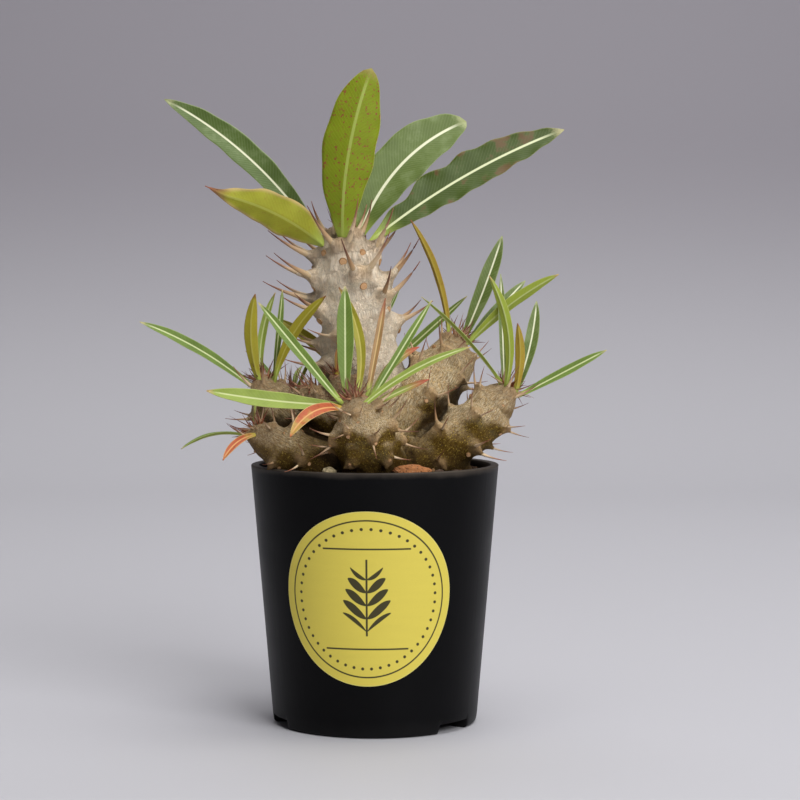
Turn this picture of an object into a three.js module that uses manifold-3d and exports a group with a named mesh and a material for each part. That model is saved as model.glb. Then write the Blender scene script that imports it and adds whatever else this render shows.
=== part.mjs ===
// A potted caudex plant: a short spiny trunk ringed by thick side limbs, tufts of
// narrow leaves, a black nursery pot with a round sticker, and soil with a few stones.
// Millimetres, +Z up. The origin is the middle of the pot's foot, and -Y is the front.
import * as THREE from "three";
import { mergeVertices } from "three/addons/utils/BufferGeometryUtils.js";
import Module from "manifold-3d";

const wasm = await Module();
wasm.setup();

// Pot
const POT_HEIGHT = 93.7;
const RIM_RADIUS = 45;
const FOOT_RADIUS = 37;
const FOOT_EDGE = 1.6; // rounding where the wall meets the ground
const WALL = 2.4;
const RIM_WIDTH = 3;
const RIM_DEPTH = 2.5;
const RIM_EDGE = 0.4; // bevel along the rim
const FOOT_RING = 3.5;
const FLOOR_UNDERSIDE = 4;
const FLOOR_TOP = 6.2;
const POT_SIDES = 60;
const NOTCH_WIDTH = 16;
const NOTCH_HEIGHT = 3.5;
const NOTCH_CORNER = 1;
const NOTCH_ANGLES = [-40, 80, 200];
const DRAIN_RADIUS = 3.5;
const DRAIN_CIRCLE = 22;
const DRAIN_HOLES = 4;
const DRAIN_SIDES = 12;

// Sticker
const LABEL_RADIUS = 30.8;
const LABEL_HEIGHT = 49.7; // of its middle
const LABEL_ANGLE = -94; // of its middle, round the pot
const LABEL_THICKNESS = 0.3;
const LABEL_STRIPS = 24;
const LABEL_END = 0.995; // the outermost strips stop just short of a point

// Soil
const SOIL_LEVEL = 89.8; // at the wall
const SOIL_MOUND = 2.2; // rise towards the plant
const SOIL_GRAIN = 0.5; // height of its lumps
const SOIL_LUMPS = 0.7; // radians of a lump's wave to a millimetre
const SOIL_SWERVE = 0.3; // radians to a millimetre of the waves' own bends
const SOIL_SIDES = 40;
const SOIL_RINGS = 8;

const GAP = 0.3; // between pieces that touch
const ROOT_GAP = 0.4; // round the limbs in the soil
const OVERSHOOT = 1; // how far a cutter runs past the face it cuts
const MERGE_WITHIN = 1e-4;
const UP = new THREE.Vector3(0, 0, 1);

const COLOURS = {
  pot: [0x1b1c1f, 0.55],
  label: [0xd8cd55, 0.6],
  soil: [0x3a2a1e, 0.95],
  bark: [0xb9aa90, 0.8],
  leaf: [0x5c7a35, 0.5],
  olive: [0x8d8f2c, 0.55],
  rust: [0xb5582e, 0.6],
  whiteStone: [0xd8d2c4, 0.85],
  beigeStone: [0xb4a184, 0.9],
  clayStone: [0xb06a35, 0.9],
  darkStone: [0x4a3a2e, 0.9],
};

const vector = (x, y, z) => new THREE.Vector3(x, y, z);
const radians = THREE.MathUtils.degToRad;
const mix = THREE.MathUtils.lerp;
const smooth = THREE.MathUtils.smoothstep;

// Repeatable random numbers from 0 to 1.
function draws(seed) {
  let state = seed;
  return () => {
    state = (state * 1664525 + 1013904223) % 4294967296;
    return state / 4294967296;
  };
}

// The unit vector at a compass angle (0 is +X, 90 is +Y) and a rise above level.
function heading(angle, rise) {
  const level = Math.cos(radians(rise));
  return vector(
    level * Math.cos(radians(angle)),
    level * Math.sin(radians(angle)),
    Math.sin(radians(rise)),
  );
}

// A unit vector square to the axis, as near as it can be to the wanted one.
function squareTo(axis, wanted) {
  return wanted.clone().addScaledVector(axis, -wanted.dot(axis)).normalize();
}

function geometryFrom(points, triangles) {
  const geometry = new THREE.BufferGeometry().setFromPoints(points);
  return geometry.setIndex(triangles.flat());
}

// A closed geometry as a solid for joins and cuts.
function solid(geometry) {
  const bare = geometry.clone().deleteAttribute("normal").deleteAttribute("uv");
  const merged = mergeVertices(bare, MERGE_WITHIN);
  const corners = merged.index.array;
  const kept = [];
  for (let i = 0; i < corners.length; i += 3) {
    const [a, b, c] = corners.slice(i, i + 3);
    if (a !== b && b !== c && c !== a) kept.push(a, b, c);
  }
  return new wasm.Manifold(
    new wasm.Mesh({
      numProp: 3,
      vertProperties: merged.attributes.position.array,
      triVerts: new Uint32Array(kept),
    }),
  );
}

function joined(solids) {
  if (solids.length === 1) return solids[0];
  const half = Math.ceil(solids.length / 2);
  return joined(solids.slice(0, half)).add(joined(solids.slice(half)));
}

const plant = new THREE.Group();

function addPiece(name, made, [colour, roughness]) {
  const mesh = made.getMesh();
  const geometry = new THREE.BufferGeometry();
  geometry.setAttribute("position", new THREE.BufferAttribute(mesh.vertProperties, 3));
  geometry.setIndex(new THREE.BufferAttribute(mesh.triVerts, 1));
  geometry.computeVertexNormals();
  const material = new THREE.MeshStandardMaterial({ color: colour, roughness, metalness: 0 });
  const piece = new THREE.Mesh(geometry, material);
  piece.name = name;
  plant.add(piece);
}

// Pot

const wallRadius = (height) => mix(FOOT_RADIUS, RIM_RADIUS, height / POT_HEIGHT);

function potSolid() {
  const inside = (height) => wallRadius(height) - WALL;
  const rimFoot = POT_HEIGHT - RIM_DEPTH;
  const ringOutside = FOOT_RADIUS - FOOT_EDGE;
  const ringInside = ringOutside - FOOT_RING;
  const halfRound = (1 - Math.SQRT1_2) * FOOT_EDGE; // midway round the foot's edge
  const profile = [
    [0, FLOOR_UNDERSIDE],
    [ringInside, FLOOR_UNDERSIDE],
    [ringInside, 0],
    [ringOutside, 0],
    [FOOT_RADIUS - halfRound, halfRound],
    [wallRadius(FOOT_EDGE), FOOT_EDGE],
    [RIM_RADIUS, POT_HEIGHT - RIM_EDGE],
    [RIM_RADIUS - RIM_EDGE, POT_HEIGHT],
    [RIM_RADIUS - RIM_WIDTH, POT_HEIGHT],
    [RIM_RADIUS - RIM_WIDTH, rimFoot],
    [inside(rimFoot), rimFoot - RIM_EDGE],
    [inside(FLOOR_TOP), FLOOR_TOP],
    [0, FLOOR_TOP],
  ].map(([x, y]) => new THREE.Vector2(x, y));
  let pot = solid(new THREE.LatheGeometry(profile, POT_SIDES).rotateX(Math.PI / 2));
  for (const angle of NOTCH_ANGLES) pot = pot.subtract(footNotch(angle));
  for (let i = 0; i < DRAIN_HOLES; i++) {
    const centre = heading((360 * (i + 0.5)) / DRAIN_HOLES, 0).multiplyScalar(DRAIN_CIRCLE);
    const length = 2 * (FLOOR_TOP + OVERSHOOT);
    const drill = new THREE.CylinderGeometry(DRAIN_RADIUS, DRAIN_RADIUS, length, DRAIN_SIDES)
      .rotateX(Math.PI / 2)
      .translate(centre.x, centre.y, 0);
    pot = pot.subtract(solid(drill));
  }
  return pot;
}

// The cutter of a notch in the foot, which lets water out.
function footNotch(angle) {
  const half = NOTCH_WIDTH / 2;
  const outline = new THREE.Shape([
    new THREE.Vector2(-half, -OVERSHOOT),
    new THREE.Vector2(half, -OVERSHOOT),
    new THREE.Vector2(half, NOTCH_HEIGHT - NOTCH_CORNER),
    new THREE.Vector2(half - NOTCH_CORNER, NOTCH_HEIGHT),
    new THREE.Vector2(NOTCH_CORNER - half, NOTCH_HEIGHT),
    new THREE.Vector2(-half, NOTCH_HEIGHT - NOTCH_CORNER),
  ]);
  const depth = 2 * (FOOT_EDGE + FOOT_RING);
  const cutter = new THREE.ExtrudeGeometry(outline, { depth, bevelEnabled: false })
    .rotateX(Math.PI / 2)
    .translate(0, FOOT_RADIUS + OVERSHOOT, 0)
    .rotateZ(radians(angle - 90));
  return solid(cutter);
}

// A round sheet bent round the pot, in upright strips that lie along the sloping wall.
function labelSolid() {
  const points = [];
  for (let i = 0; i <= LABEL_STRIPS; i++) {
    const turn = Math.PI * (i / LABEL_STRIPS - 0.5) * LABEL_END;
    const angle = LABEL_ANGLE + THREE.MathUtils.radToDeg(
      (LABEL_RADIUS * Math.sin(turn)) / wallRadius(LABEL_HEIGHT),
    );
    for (const side of [-1, 1]) {
      const height = LABEL_HEIGHT + side * LABEL_RADIUS * Math.cos(turn);
      for (const lift of [GAP, GAP + LABEL_THICKNESS]) {
        points.push(heading(angle, 0).multiplyScalar(wallRadius(height) + lift).setZ(height));
      }
    }
  }
  const triangles = [];
  const quad = (a, b, c, d) => triangles.push([a, b, c], [a, c, d]);
  for (let i = 0; i < LABEL_STRIPS; i++) {
    const [lowBack, lowFront, highBack, highFront] = [4 * i, 4 * i + 1, 4 * i + 2, 4 * i + 3];
    quad(lowFront, lowFront + 4, highFront + 4, highFront);
    quad(lowBack, highBack, highBack + 4, lowBack + 4);
    quad(lowBack, lowBack + 4, lowFront + 4, lowFront);
    quad(highBack, highFront, highFront + 4, highBack + 4);
  }
  const end = 4 * LABEL_STRIPS;
  quad(0, 1, 3, 2);
  quad(end, end + 2, end + 3, end + 1);
  return solid(geometryFrom(points, triangles));
}

// Woody body

// Each limb: centre points with the radius there, from its root to its growing tip, and
// the knobs spread up it: how many, how far below the tip they start and end, the turn
// of the first one and the length of their spines.
const LIMBS = {
  trunk: {
    course: [
      [4, 4, 68, 12],
      [4, 3, 84, 18],
      [1, 3, 105, 16.5],
      [-4, 3, 128, 14],
      [-7, 2, 148, 12.8],
      [-9.5, 2, 162, 11.4],
      [-10.8, 2, 170.5, 8.6],
      [-11, 2, 174, 4],
    ],
    sides: 16,
    steps: 12,
  },
  front: {
    course: [
      [2, -6, 84, 14],
      [0, -18, 92, 12.5],
      [-2, -28, 99.5, 11],
      [-3.5, -33.5, 107, 10.2],
      [-5.5, -35.5, 114, 6.4],
      [-6.5, -36, 117.5, 3],
    ],
  },
  left: {
    course: [
      [-4, -1, 90, 15],
      [-10, -2, 101, 13.5],
      [-20, -4, 107, 10.8],
      [-30, -5.5, 110, 9],
      [-37, -6, 116, 7.3],
      [-39.5, -6, 122, 3.8],
    ],
    knobs: { count: 10, first: 3, last: 30, turn: 250, spine: 7.5 },
  },
  low_left: {
    course: [
      [-6, -10, 86, 13],
      [-18, -16, 93, 10.5],
      [-28, -19, 98, 8],
      [-35.5, -20.5, 101.8, 6.6],
      [-40.5, -21, 106.5, 3.2],
    ],
    knobs: { count: 6, first: 2, last: 22, turn: 190, spine: 7 },
  },
  right_upper: {
    course: [
      [7, -2, 93, 14],
      [11, -3, 107, 10.5],
      [17.5, 0, 118, 11],
      [24.5, 5, 126.5, 10],
      [28, 7.5, 132.5, 7.3],
      [30, 8, 137, 3.8],
    ],
    knobs: { count: 11, first: 3, last: 30, turn: 240, spine: 8 },
  },
  right_lower: {
    course: [
      [9, -8, 84, 13],
      [16, -10, 92, 10],
      [26, -11, 100.5, 9.2],
      [35, -10.5, 107.8, 8.8],
      [42, -9, 114.3, 7.6],
      [46.5, -8, 119.5, 4.2],
    ],
    knobs: { count: 13, first: 3, last: 36, turn: 290, spine: 8.5 },
  },
  middle: {
    course: [
      [-4, -8, 100, 10],
      [-8, -13, 114, 8],
      [-11, -14, 121, 6],
      [-12.5, -14.5, 125, 2.5],
    ],
    steps: 5,
    knobs: { count: 3, first: 2, last: 9, turn: 230, spine: 5 },
  },
  bud: {
    course: [
      [-12, -8, 104, 8],
      [-19, -12, 114, 6],
      [-22.5, -14, 120, 3],
    ],
    steps: 4,
    knobs: { count: 5, first: 1, last: 8, turn: 180, spine: 6 },
  },
  back: {
    course: [
      [4, 6, 86, 15],
      [2, 16, 96, 14],
      [-2, 21, 107, 11.5],
      [-4.5, 23.5, 116, 8.6],
      [-5, 24, 121, 4.2],
    ],
    knobs: { count: 10, first: 3, last: 28, turn: 30, spine: 8 },
  },
  back_left: {
    course: [
      [-4, 6, 86, 14],
      [-15, 13, 96, 12],
      [-24, 17, 106, 9.5],
      [-29.5, 18.5, 113, 7],
      [-31, 19, 116.5, 3.5],
    ],
    steps: 7,
    knobs: { count: 6, first: 2, last: 24, turn: 100, spine: 7 },
  },
};
const LIMB_SIDES = 12;
const LIMB_STEPS = 8;
const LIMB_CAP = 0.25; // height of a limb's blunt end, of its radius there

// Trunk knobs: how far below the tip, the turn (0 right, 90 behind), the spines' length and rise.
const TRUNK_KNOBS = [
  [1.5, -140, 13, 68],
  [2, -52, 13, 68],
  [1.5, 75, 12, 62],
  [4.5, -95, 19, 48],
  [5.5, 172, 18, 28],
  [6.5, -10, 17, 42],
  [6.5, 115, 16, 35],
  [9, 50, 16, 32],
  [12, -168, 18, 24],
  [14.5, -70, 18, 33],
  [15, 95, 16, 27],
  [18, 8, 18, 32],
  [19.5, 168, 18, 20],
  [22, 65, 16, 27],
  [24, -37, 16, 30],
  [24, -155, 13, 22],
  [27, 125, 14, 24],
  [32, 14, 13, 12],
  [33, 90, 12, 20],
  [33, -120, 9, 10],
  [36, 175, 10, 14],
  [40, 140, 11, 16],
  [43, -155, 12, 8],
];

// Knobs of the front limb's round head, with the twist of each pair of spines at the end.
const FRONT_KNOBS = [
  [2.5, -150, 6, 25, 20],
  [3, -22, 8, 12, 15],
  [3, 80, 6, 35, 0],
  [9.5, -165, 8, -4, 80],
  [9.5, -72, 6.5, -5, 65],
  [9.5, -20, 8, 6, 80],
  [8, 45, 7, 25, 20],
  [8, 125, 7, 20, 0],
  [14, -118, 7.5, -35, 25],
  [15, -52, 7.5, -38, 35],
  [15, -175, 7, -10, 60],
  [16, 5, 7, -8, 50],
];
const LISTED_KNOBS = { trunk: TRUNK_KNOBS, front: FRONT_KNOBS };

// A lofted limb: its surface, and the centre, direction and radius a share of the way along.
function limb({ course, sides = LIMB_SIDES, steps = LIMB_STEPS }, growth = 0) {
  const middle = new THREE.CatmullRomCurve3(course.map(([x, y, z]) => vector(x, y, z)));
  const widths = new THREE.CatmullRomCurve3(course.map(([, , , r], i) => vector(r, i, 0)));
  const along = (share) => {
    const t = middle.getUtoTmapping(share);
    return {
      centre: middle.getPoint(t),
      axis: middle.getTangent(t),
      radius: widths.getPoint(t).x,
    };
  };
  const points = [];
  for (let i = 0; i <= steps; i++) {
    const { centre, axis, radius } = along(i / steps);
    for (let j = 0; j < sides; j++) {
      const outward = outwardFrom(axis, (360 * j) / sides);
      points.push(centre.clone().addScaledVector(outward, radius + growth));
    }
  }
  const { centre, axis, radius } = along(1);
  const [first, last] = [points.length, points.length + 1];
  const start = along(0);
  points.push(
    start.centre.addScaledVector(start.axis, -growth),
    centre.clone().addScaledVector(axis, LIMB_CAP * radius + growth),
  );
  const triangles = [];
  for (let j = 0; j < sides; j++) {
    const next = (j + 1) % sides;
    for (let i = 0; i < steps; i++) {
      const [a, b] = [i * sides + j, i * sides + next];
      triangles.push([a, b, b + sides], [a, b + sides, a + sides]);
    }
    triangles.push([first, next, j], [last, steps * sides + j, steps * sides + next]);
  }
  return { along, length: middle.getLength(), surface: solid(geometryFrom(points, triangles)) };
}

// The way out of a limb at a turn round it, 0 to the right and 90 behind on an upright one.
function outwardFrom(axis, turn) {
  const across = squareTo(axis, vector(1, 0, 0));
  const over = axis.clone().cross(across);
  return across.multiplyScalar(Math.cos(radians(turn))).addScaledVector(over, Math.sin(radians(turn)));
}

// A cone that stands at a foot, points along a direction and curls towards another.
function horn({ foot, direction, towards, length, radius, tip, sides, curl = 0, steps = 1 }) {
  const cone = new THREE.CylinderGeometry(tip, radius, length, sides, steps);
  const places = cone.attributes.position;
  for (let i = 0; i < places.count; i++) {
    const share = places.getY(i) / length + 0.5;
    places.setY(i, share * length);
    places.setX(i, places.getX(i) + curl * length * share * share);
  }
  const side = squareTo(direction, towards);
  const third = side.clone().cross(direction);
  const placing = new THREE.Matrix4().makeBasis(side, direction, third).setPosition(foot);
  return solid(cone.applyMatrix4(placing));
}

const KNOB_ROOT = 2.5; // how far a knob's foot is sunk
const KNOB_HEIGHT = 2.6;
const KNOB_RADIUS = 3.4;
const KNOB_TIP = 0.4; // radius of its top, of the foot's
const KNOB_SIDES = 5;
const KNOB_GIRTH = [0.75, 1.35]; // of the knobs with the shortest and the longest spines
const SPINE_LENGTHS = [5, 16]; // and those spines' lengths
const SPINE_ROOT = 1.5;
const SPINE_RADIUS = 1.2;
const SPINE_SIDES = 3;
const SPINE_SPREAD = 27; // each spine of a pair leans this far aside
const SPINE_CURL = 0.12;
const CURVED_SPINE = 12; // from this length on a spine is made in two steps
const SPINE_SPOTS = [0.35, 0.55, 0.75, 0.9, 1]; // shares of a spine that have to be clear

// A knob with a pair of spines that part from each other and curl along the limb.
function knob(line, { below, turn, spine, rise, twist = 0 }, isClear) {
  const { centre, axis, radius } = line.along(1 - below / line.length);
  const outward = outwardFrom(axis, turn);
  const sideways = axis
    .clone()
    .cross(outward)
    .multiplyScalar(Math.cos(radians(twist)))
    .addScaledVector(axis, Math.sin(radians(twist)));
  const leaning = (lean, aside) =>
    outward
      .clone()
      .multiplyScalar(Math.cos(radians(lean)))
      .addScaledVector(axis, Math.sin(radians(lean)))
      .multiplyScalar(Math.cos(radians(aside)))
      .addScaledVector(sideways, Math.sin(radians(aside)));
  const girth = mix(...KNOB_GIRTH, smooth(spine, ...SPINE_LENGTHS));
  const skin = centre.clone().addScaledVector(outward, radius);
  const reach = KNOB_ROOT + KNOB_HEIGHT * girth;
  const base = skin.clone().addScaledVector(outward, -KNOB_ROOT);
  const solids = [];
  if (isClear(base.clone().addScaledVector(leaning(rise, 0), reach))) {
    solids.push(
      horn({
        foot: base,
        direction: leaning(rise, 0),
        towards: axis,
        length: reach,
        radius: KNOB_RADIUS * girth,
        tip: KNOB_TIP * KNOB_RADIUS * girth,
        sides: KNOB_SIDES,
      }),
    );
  }
  for (const side of [-1, 1]) {
    const direction = leaning(rise, side * SPINE_SPREAD);
    const foot = skin.clone().addScaledVector(outward, -SPINE_ROOT);
    const length = spine + SPINE_ROOT;
    const spots = SPINE_SPOTS.map((share) =>
      foot
        .clone()
        .addScaledVector(direction, share * length)
        .addScaledVector(squareTo(direction, axis), SPINE_CURL * length * share * share),
    );
    if (!spots.every(isClear)) continue;
    solids.push(
      horn({
        foot,
        direction,
        towards: axis,
        length,
        radius: SPINE_RADIUS * girth,
        tip: 0,
        sides: SPINE_SIDES,
        curl: SPINE_CURL,
        steps: spine > CURVED_SPINE ? 2 : 1,
      }),
    );
  }
  return solids;
}

const GOLDEN_TURN = 137.5; // from each knob to the next
const SPINE_SEED = 1009;
const LENGTH_SPREAD = 0.25; // of a side limb's spines
const TIP_RISE = 65; // how far the spines at a side limb's tip lean along it
const SIDE_RISE = 22; // and those past its first few knobs
const TIP_KNOBS = 3;

// The knobs of a limb: as listed for it, or else in a spiral down from its tip.
function knobsUp(name, { knobs }) {
  if (name in LISTED_KNOBS) {
    return LISTED_KNOBS[name].map(([below, turn, spine, rise, twist]) => {
      return { below, turn, spine, rise, twist };
    });
  }
  const draw = draws(SPINE_SEED * knobs.turn);
  return Array.from({ length: knobs.count }, (_, i) => ({
    below: mix(knobs.first, knobs.last, i / (knobs.count - 1)),
    turn: knobs.turn + GOLDEN_TURN * i,
    spine: knobs.spine * mix(1 - LENGTH_SPREAD, 1 + LENGTH_SPREAD, draw()),
    rise: mix(TIP_RISE, SIDE_RISE, smooth(i, 0, TIP_KNOBS)),
  }));
}

// Leaves

// Each tuft: the middle of its crown, the way the crown faces, how far out and up from
// there its leaves start, and the leaves. A leaf has the compass angle, rise and distance
// from the crown's middle to its tip, and the blade's width. It may have shares of its
// length by which it arches up and sways to its left, the way its upper side faces, the
// compass angle at which its foot stands on the crown, how far down its foot is, where
// along it the blade is widest, how bluntly it tapers from there, and a colour of its own.
const TO_VIEWER = [0, -1, 0.5];
const FROM_VIEWER = [0, 1, 0.3];
const TUFTS = {
  top: {
    crown: [-10.5, 2, 174],
    faces: [-0.1, 0, 1],
    ring: 9,
    lift: -0.5,
    leaves: [
      { angle: 162, rise: 37, reach: 89, width: 10.5, arch: 0.065, upper: TO_VIEWER },
      {
        angle: -152, rise: 17, reach: 58, width: 14, arch: 0.07, widest: 0.33, taper: 1.4,
        upper: FROM_VIEWER,
      },
      {
        angle: -60, rise: 73, reach: 64, width: 19, sway: -0.085, taper: 0.6, from: -97,
        upper: FROM_VIEWER, colour: "olive",
      },
      {
        angle: 32, rise: 41, reach: 70, width: 19, arch: 0.115, taper: 0.6, from: 65,
        upper: TO_VIEWER,
      },
      {
        angle: 13, rise: 27, reach: 93, width: 15, arch: 0.04, widest: 0.47, from: 3,
        upper: TO_VIEWER,
      },
      { angle: 87, rise: 57, reach: 33, width: 8 },
    ],
  },
  front: {
    crown: [-6.5, -36, 118.5],
    faces: [-0.1, -0.35, 0.93],
    ring: 5.5,
    lift: 0.4,
    leaves: [
      { angle: 177, rise: 45, reach: 48, width: 4, from: 200, upper: TO_VIEWER },
      { angle: 112, rise: 75, reach: 41, width: 6, from: 130, upper: TO_VIEWER },
      { angle: -172, rise: 4, reach: 52, width: 6.2, arch: -0.02, down: 1.5, upper: TO_VIEWER },
      {
        angle: -144, rise: -23, reach: 30, width: 4.6, arch: 0.17, down: 2,
        upper: TO_VIEWER, colour: "rust",
      },
      { angle: 13, rise: 52, reach: 44, width: 3, from: -20, upper: TO_VIEWER },
      { angle: 28, rise: 36, reach: 31, width: 3, arch: 0.1, from: 8, upper: TO_VIEWER },
      { angle: -3, rise: 25, reach: 44, width: 3, arch: 0.06, from: -88, down: 2, upper: TO_VIEWER },
      { angle: 13, rise: 15, reach: 27, width: 2.6, arch: 0.02, from: -56, down: 2.2, upper: TO_VIEWER },
      {
        angle: 111, rise: 66, reach: 43, width: 3.6, sway: -0.12, from: 85,
        upper: TO_VIEWER, colour: "olive",
      },
      { angle: 57, rise: 62, reach: 40, width: 2.6, from: 42, upper: TO_VIEWER, colour: "rust" },
    ],
  },
  left: {
    crown: [-39.5, -6, 123.5],
    faces: [-0.45, 0, 0.9],
    ring: 5,
    lift: 0.6,
    leaves: [
      { angle: -170, rise: 26, reach: 50, width: 4, arch: 0.045, upper: TO_VIEWER },
      {
        angle: -111, rise: 75, reach: 33, width: 4.8, sway: -0.08,
        upper: FROM_VIEWER, colour: "olive",
      },
      { angle: 72, rise: 72, reach: 34, width: 3, sway: 0.1, from: 110, upper: TO_VIEWER },
      { angle: 18, rise: 79, reach: 34, width: 3, from: 40, upper: [0.6, -0.6, 0] },
      {
        angle: -20, rise: 53, reach: 39, width: 4.2, arch: 0.08,
        upper: FROM_VIEWER, colour: "olive",
      },
    ],
  },
  low_left: {
    crown: [-42, -21, 107.5],
    faces: [-0.8, -0.15, 0.6],
    ring: 3.5,
    lift: 0.6,
    leaves: [
      { angle: -161, rise: -13, reach: 28, width: 3, arch: 0.12, upper: [0, 0, 1] },
      {
        angle: -129, rise: -30, reach: 20, width: 2.8, arch: 0.12, down: 1,
        upper: TO_VIEWER, colour: "rust",
      },
      { angle: 100, rise: 73, reach: 10, width: 2 },
    ],
  },
  right_upper: {
    crown: [30.5, 8, 138.5],
    faces: [0.3, 0.1, 0.95],
    ring: 4.5,
    lift: 0.6,
    leaves: [
      {
        angle: -150, rise: 65, reach: 48, width: 3, arch: 0.07,
        upper: [0.5, 0.8, 0], colour: "olive",
      },
      { angle: 31, rise: 63, reach: 43, width: 6.2, sway: -0.04, from: 65, upper: TO_VIEWER },
      { angle: -10, rise: 33, reach: 44, width: 4.4, arch: 0.05, upper: FROM_VIEWER },
      { angle: 34, rise: 35, reach: 38, width: 4.5, upper: TO_VIEWER },
    ],
  },
  right_lower: {
    crown: [48, -8, 121],
    faces: [0.6, 0, 0.8],
    ring: 4.5,
    lift: 0.6,
    leaves: [
      { angle: -156, rise: 44, reach: 48, width: 2.6, arch: 0.03, from: 200, upper: [0, 0, 1] },
      { angle: 98, rise: 71, reach: 44, width: 2.8, from: 120, upper: TO_VIEWER },
      { angle: -118, rise: 68, reach: 44, width: 3.7, arch: 0.04, sway: 0.08, upper: FROM_VIEWER },
      {
        angle: -75, rise: 67, reach: 26, width: 3.5, sway: 0.05, from: -50,
        upper: FROM_VIEWER, colour: "olive",
      },
      { angle: 43, rise: 65, reach: 35, width: 4.8, sway: -0.06, upper: TO_VIEWER },
      { angle: -3, rise: 22, reach: 38, width: 3.5, upper: TO_VIEWER },
    ],
  },
  middle: {
    crown: [-13, -15, 127],
    faces: [-0.2, -0.3, 0.9],
    ring: 2,
    lift: 0.6,
    leaves: [{ angle: -104, rise: 76, reach: 9, width: 1.6, colour: "rust" }],
  },
  back: {
    crown: [-5, 24, 122.5],
    faces: [0, 0.25, 0.95],
    ring: 4.5,
    lift: 0.6,
    leaves: [
      {
        angle: -176, rise: 37, reach: 39, width: 4.5, arch: 0.05,
        upper: TO_VIEWER, colour: "olive",
      },
      { angle: 3, rise: 39, reach: 51, width: 3.2, upper: TO_VIEWER },
      { angle: 82, rise: 35, reach: 33, width: 4, arch: 0.1 },
      { angle: 109, rise: 58, reach: 44, width: 5, arch: 0.06 },
      { angle: 56, rise: 53, reach: 46, width: 4.5, arch: 0.06 },
    ],
  },
  back_left: {
    crown: [-31.5, 19, 118.5],
    faces: [-0.4, 0.3, 0.85],
    ring: 4,
    lift: 0.6,
    leaves: [
      { angle: -21, rise: 57, reach: 15, width: 2 },
      { angle: 150, rise: 38, reach: 25, width: 3.6, arch: 0.08 },
      { angle: 78, rise: 27, reach: 21, width: 3.4, arch: 0.08 },
    ],
  },
};
const STALK = 1.5; // width of a leaf at its foot
const LEAF_TIP = 0.5; // and at its tip
const NARROWING = 2.2; // how late a leaf narrows towards its tip
const BLADE_EDGE = 0.6; // thickness at the edges
const BLADE_RIB = 0.9; // and along the midrib
const BLADE_FOLD = 0.16; // rise of the edges, of the width
const WIDE_BLADE = 8; // from this width on a blade has more faces
const WIDE_GRID = [12, 4]; // steps along it and columns across it
const NARROW_GRID = [8, 2];

// The run of a leaf from its foot to its tip.
function leafRun({ crown, faces, ring, lift }, leaf) {
  const { angle, rise, reach, from = angle, down = 0, arch = 0, sway = 0 } = leaf;
  const middle = vector(...crown);
  const crownWay = vector(...faces).normalize();
  const outward = squareTo(crownWay, heading(from, 0));
  const foot = middle
    .clone()
    .addScaledVector(outward, ring)
    .addScaledVector(crownWay, lift - down);
  const tip = middle.clone().addScaledVector(heading(angle, rise), reach);
  const length = foot.distanceTo(tip);
  const straight = tip.clone().sub(foot).normalize();
  const upward = squareTo(straight, UP);
  const aside = UP.clone().cross(straight).normalize();
  const bend = foot
    .clone()
    .lerp(tip, 0.5)
    .addScaledVector(upward, 2 * arch * length)
    .addScaledVector(aside, 2 * sway * length);
  return new THREE.QuadraticBezierCurve3(foot, bend, tip);
}

// Width of a leaf a share of the way along.
function leafWidth({ width, widest = 0.55, taper = 0.8 }, share) {
  const swell = Math.sin((Math.PI / 2) * Math.min(1, share / widest));
  const narrowing = (Math.max(0, share - widest) / (1 - widest)) ** NARROWING;
  return Math.max(LEAF_TIP, mix(STALK, width, swell) * (1 - narrowing) ** taper);
}

function leafSolid(tuft, leaf) {
  const { width, upper = tuft.faces } = leaf;
  const run = leafRun(tuft, leaf);
  const [steps, columns] = width > WIDE_BLADE ? WIDE_GRID : NARROW_GRID;
  const points = [];
  for (let i = 0; i <= steps; i++) {
    const share = i / steps;
    const middle = run.getPoint(share);
    const along = run.getTangent(share);
    const over = squareTo(along, vector(...upper));
    const across = over.clone().cross(along);
    const full = leafWidth(leaf, share);
    for (const side of [1, -1]) {
      for (let j = 0; j <= columns; j++) {
        const out = (2 * j) / columns - 1;
        const thick = mix(BLADE_RIB, BLADE_EDGE, Math.abs(out));
        points.push(
          middle
            .clone()
            .addScaledVector(across, (out * full) / 2)
            .addScaledVector(over, BLADE_FOLD * full * Math.abs(out) + (side * thick) / 2),
        );
      }
    }
  }
  const row = columns + 1;
  const at = (i, layer, j) => i * 2 * row + layer * row + j;
  const triangles = [];
  const quad = (a, b, c, d) => triangles.push([a, b, c], [a, c, d]);
  for (let i = 0; i < steps; i++) {
    for (let j = 0; j < columns; j++) {
      const corners = (layer) => [
        at(i, layer, j),
        at(i, layer, j + 1),
        at(i + 1, layer, j + 1),
        at(i + 1, layer, j),
      ];
      const [a, b, c, d] = corners(0);
      const [e, f, g, h] = corners(1);
      triangles.push([a, c, b], [a, d, c], [e, f, g], [e, g, h]);
    }
    quad(at(i, 0, 0), at(i, 1, 0), at(i + 1, 1, 0), at(i + 1, 0, 0));
    quad(at(i, 0, columns), at(i + 1, 0, columns), at(i + 1, 1, columns), at(i, 1, columns));
  }
  for (let j = 0; j < columns; j++) {
    quad(at(0, 0, j), at(0, 0, j + 1), at(0, 1, j + 1), at(0, 1, j));
    quad(at(steps, 0, j), at(steps, 1, j), at(steps, 1, j + 1), at(steps, 0, j + 1));
  }
  return solid(geometryFrom(points, triangles));
}

const LEAF_CHECKS = 1.5; // millimetres between the places at which a leaf is kept clear
const SPINE_ROOM = 1; // what a spine keeps free round it

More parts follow.
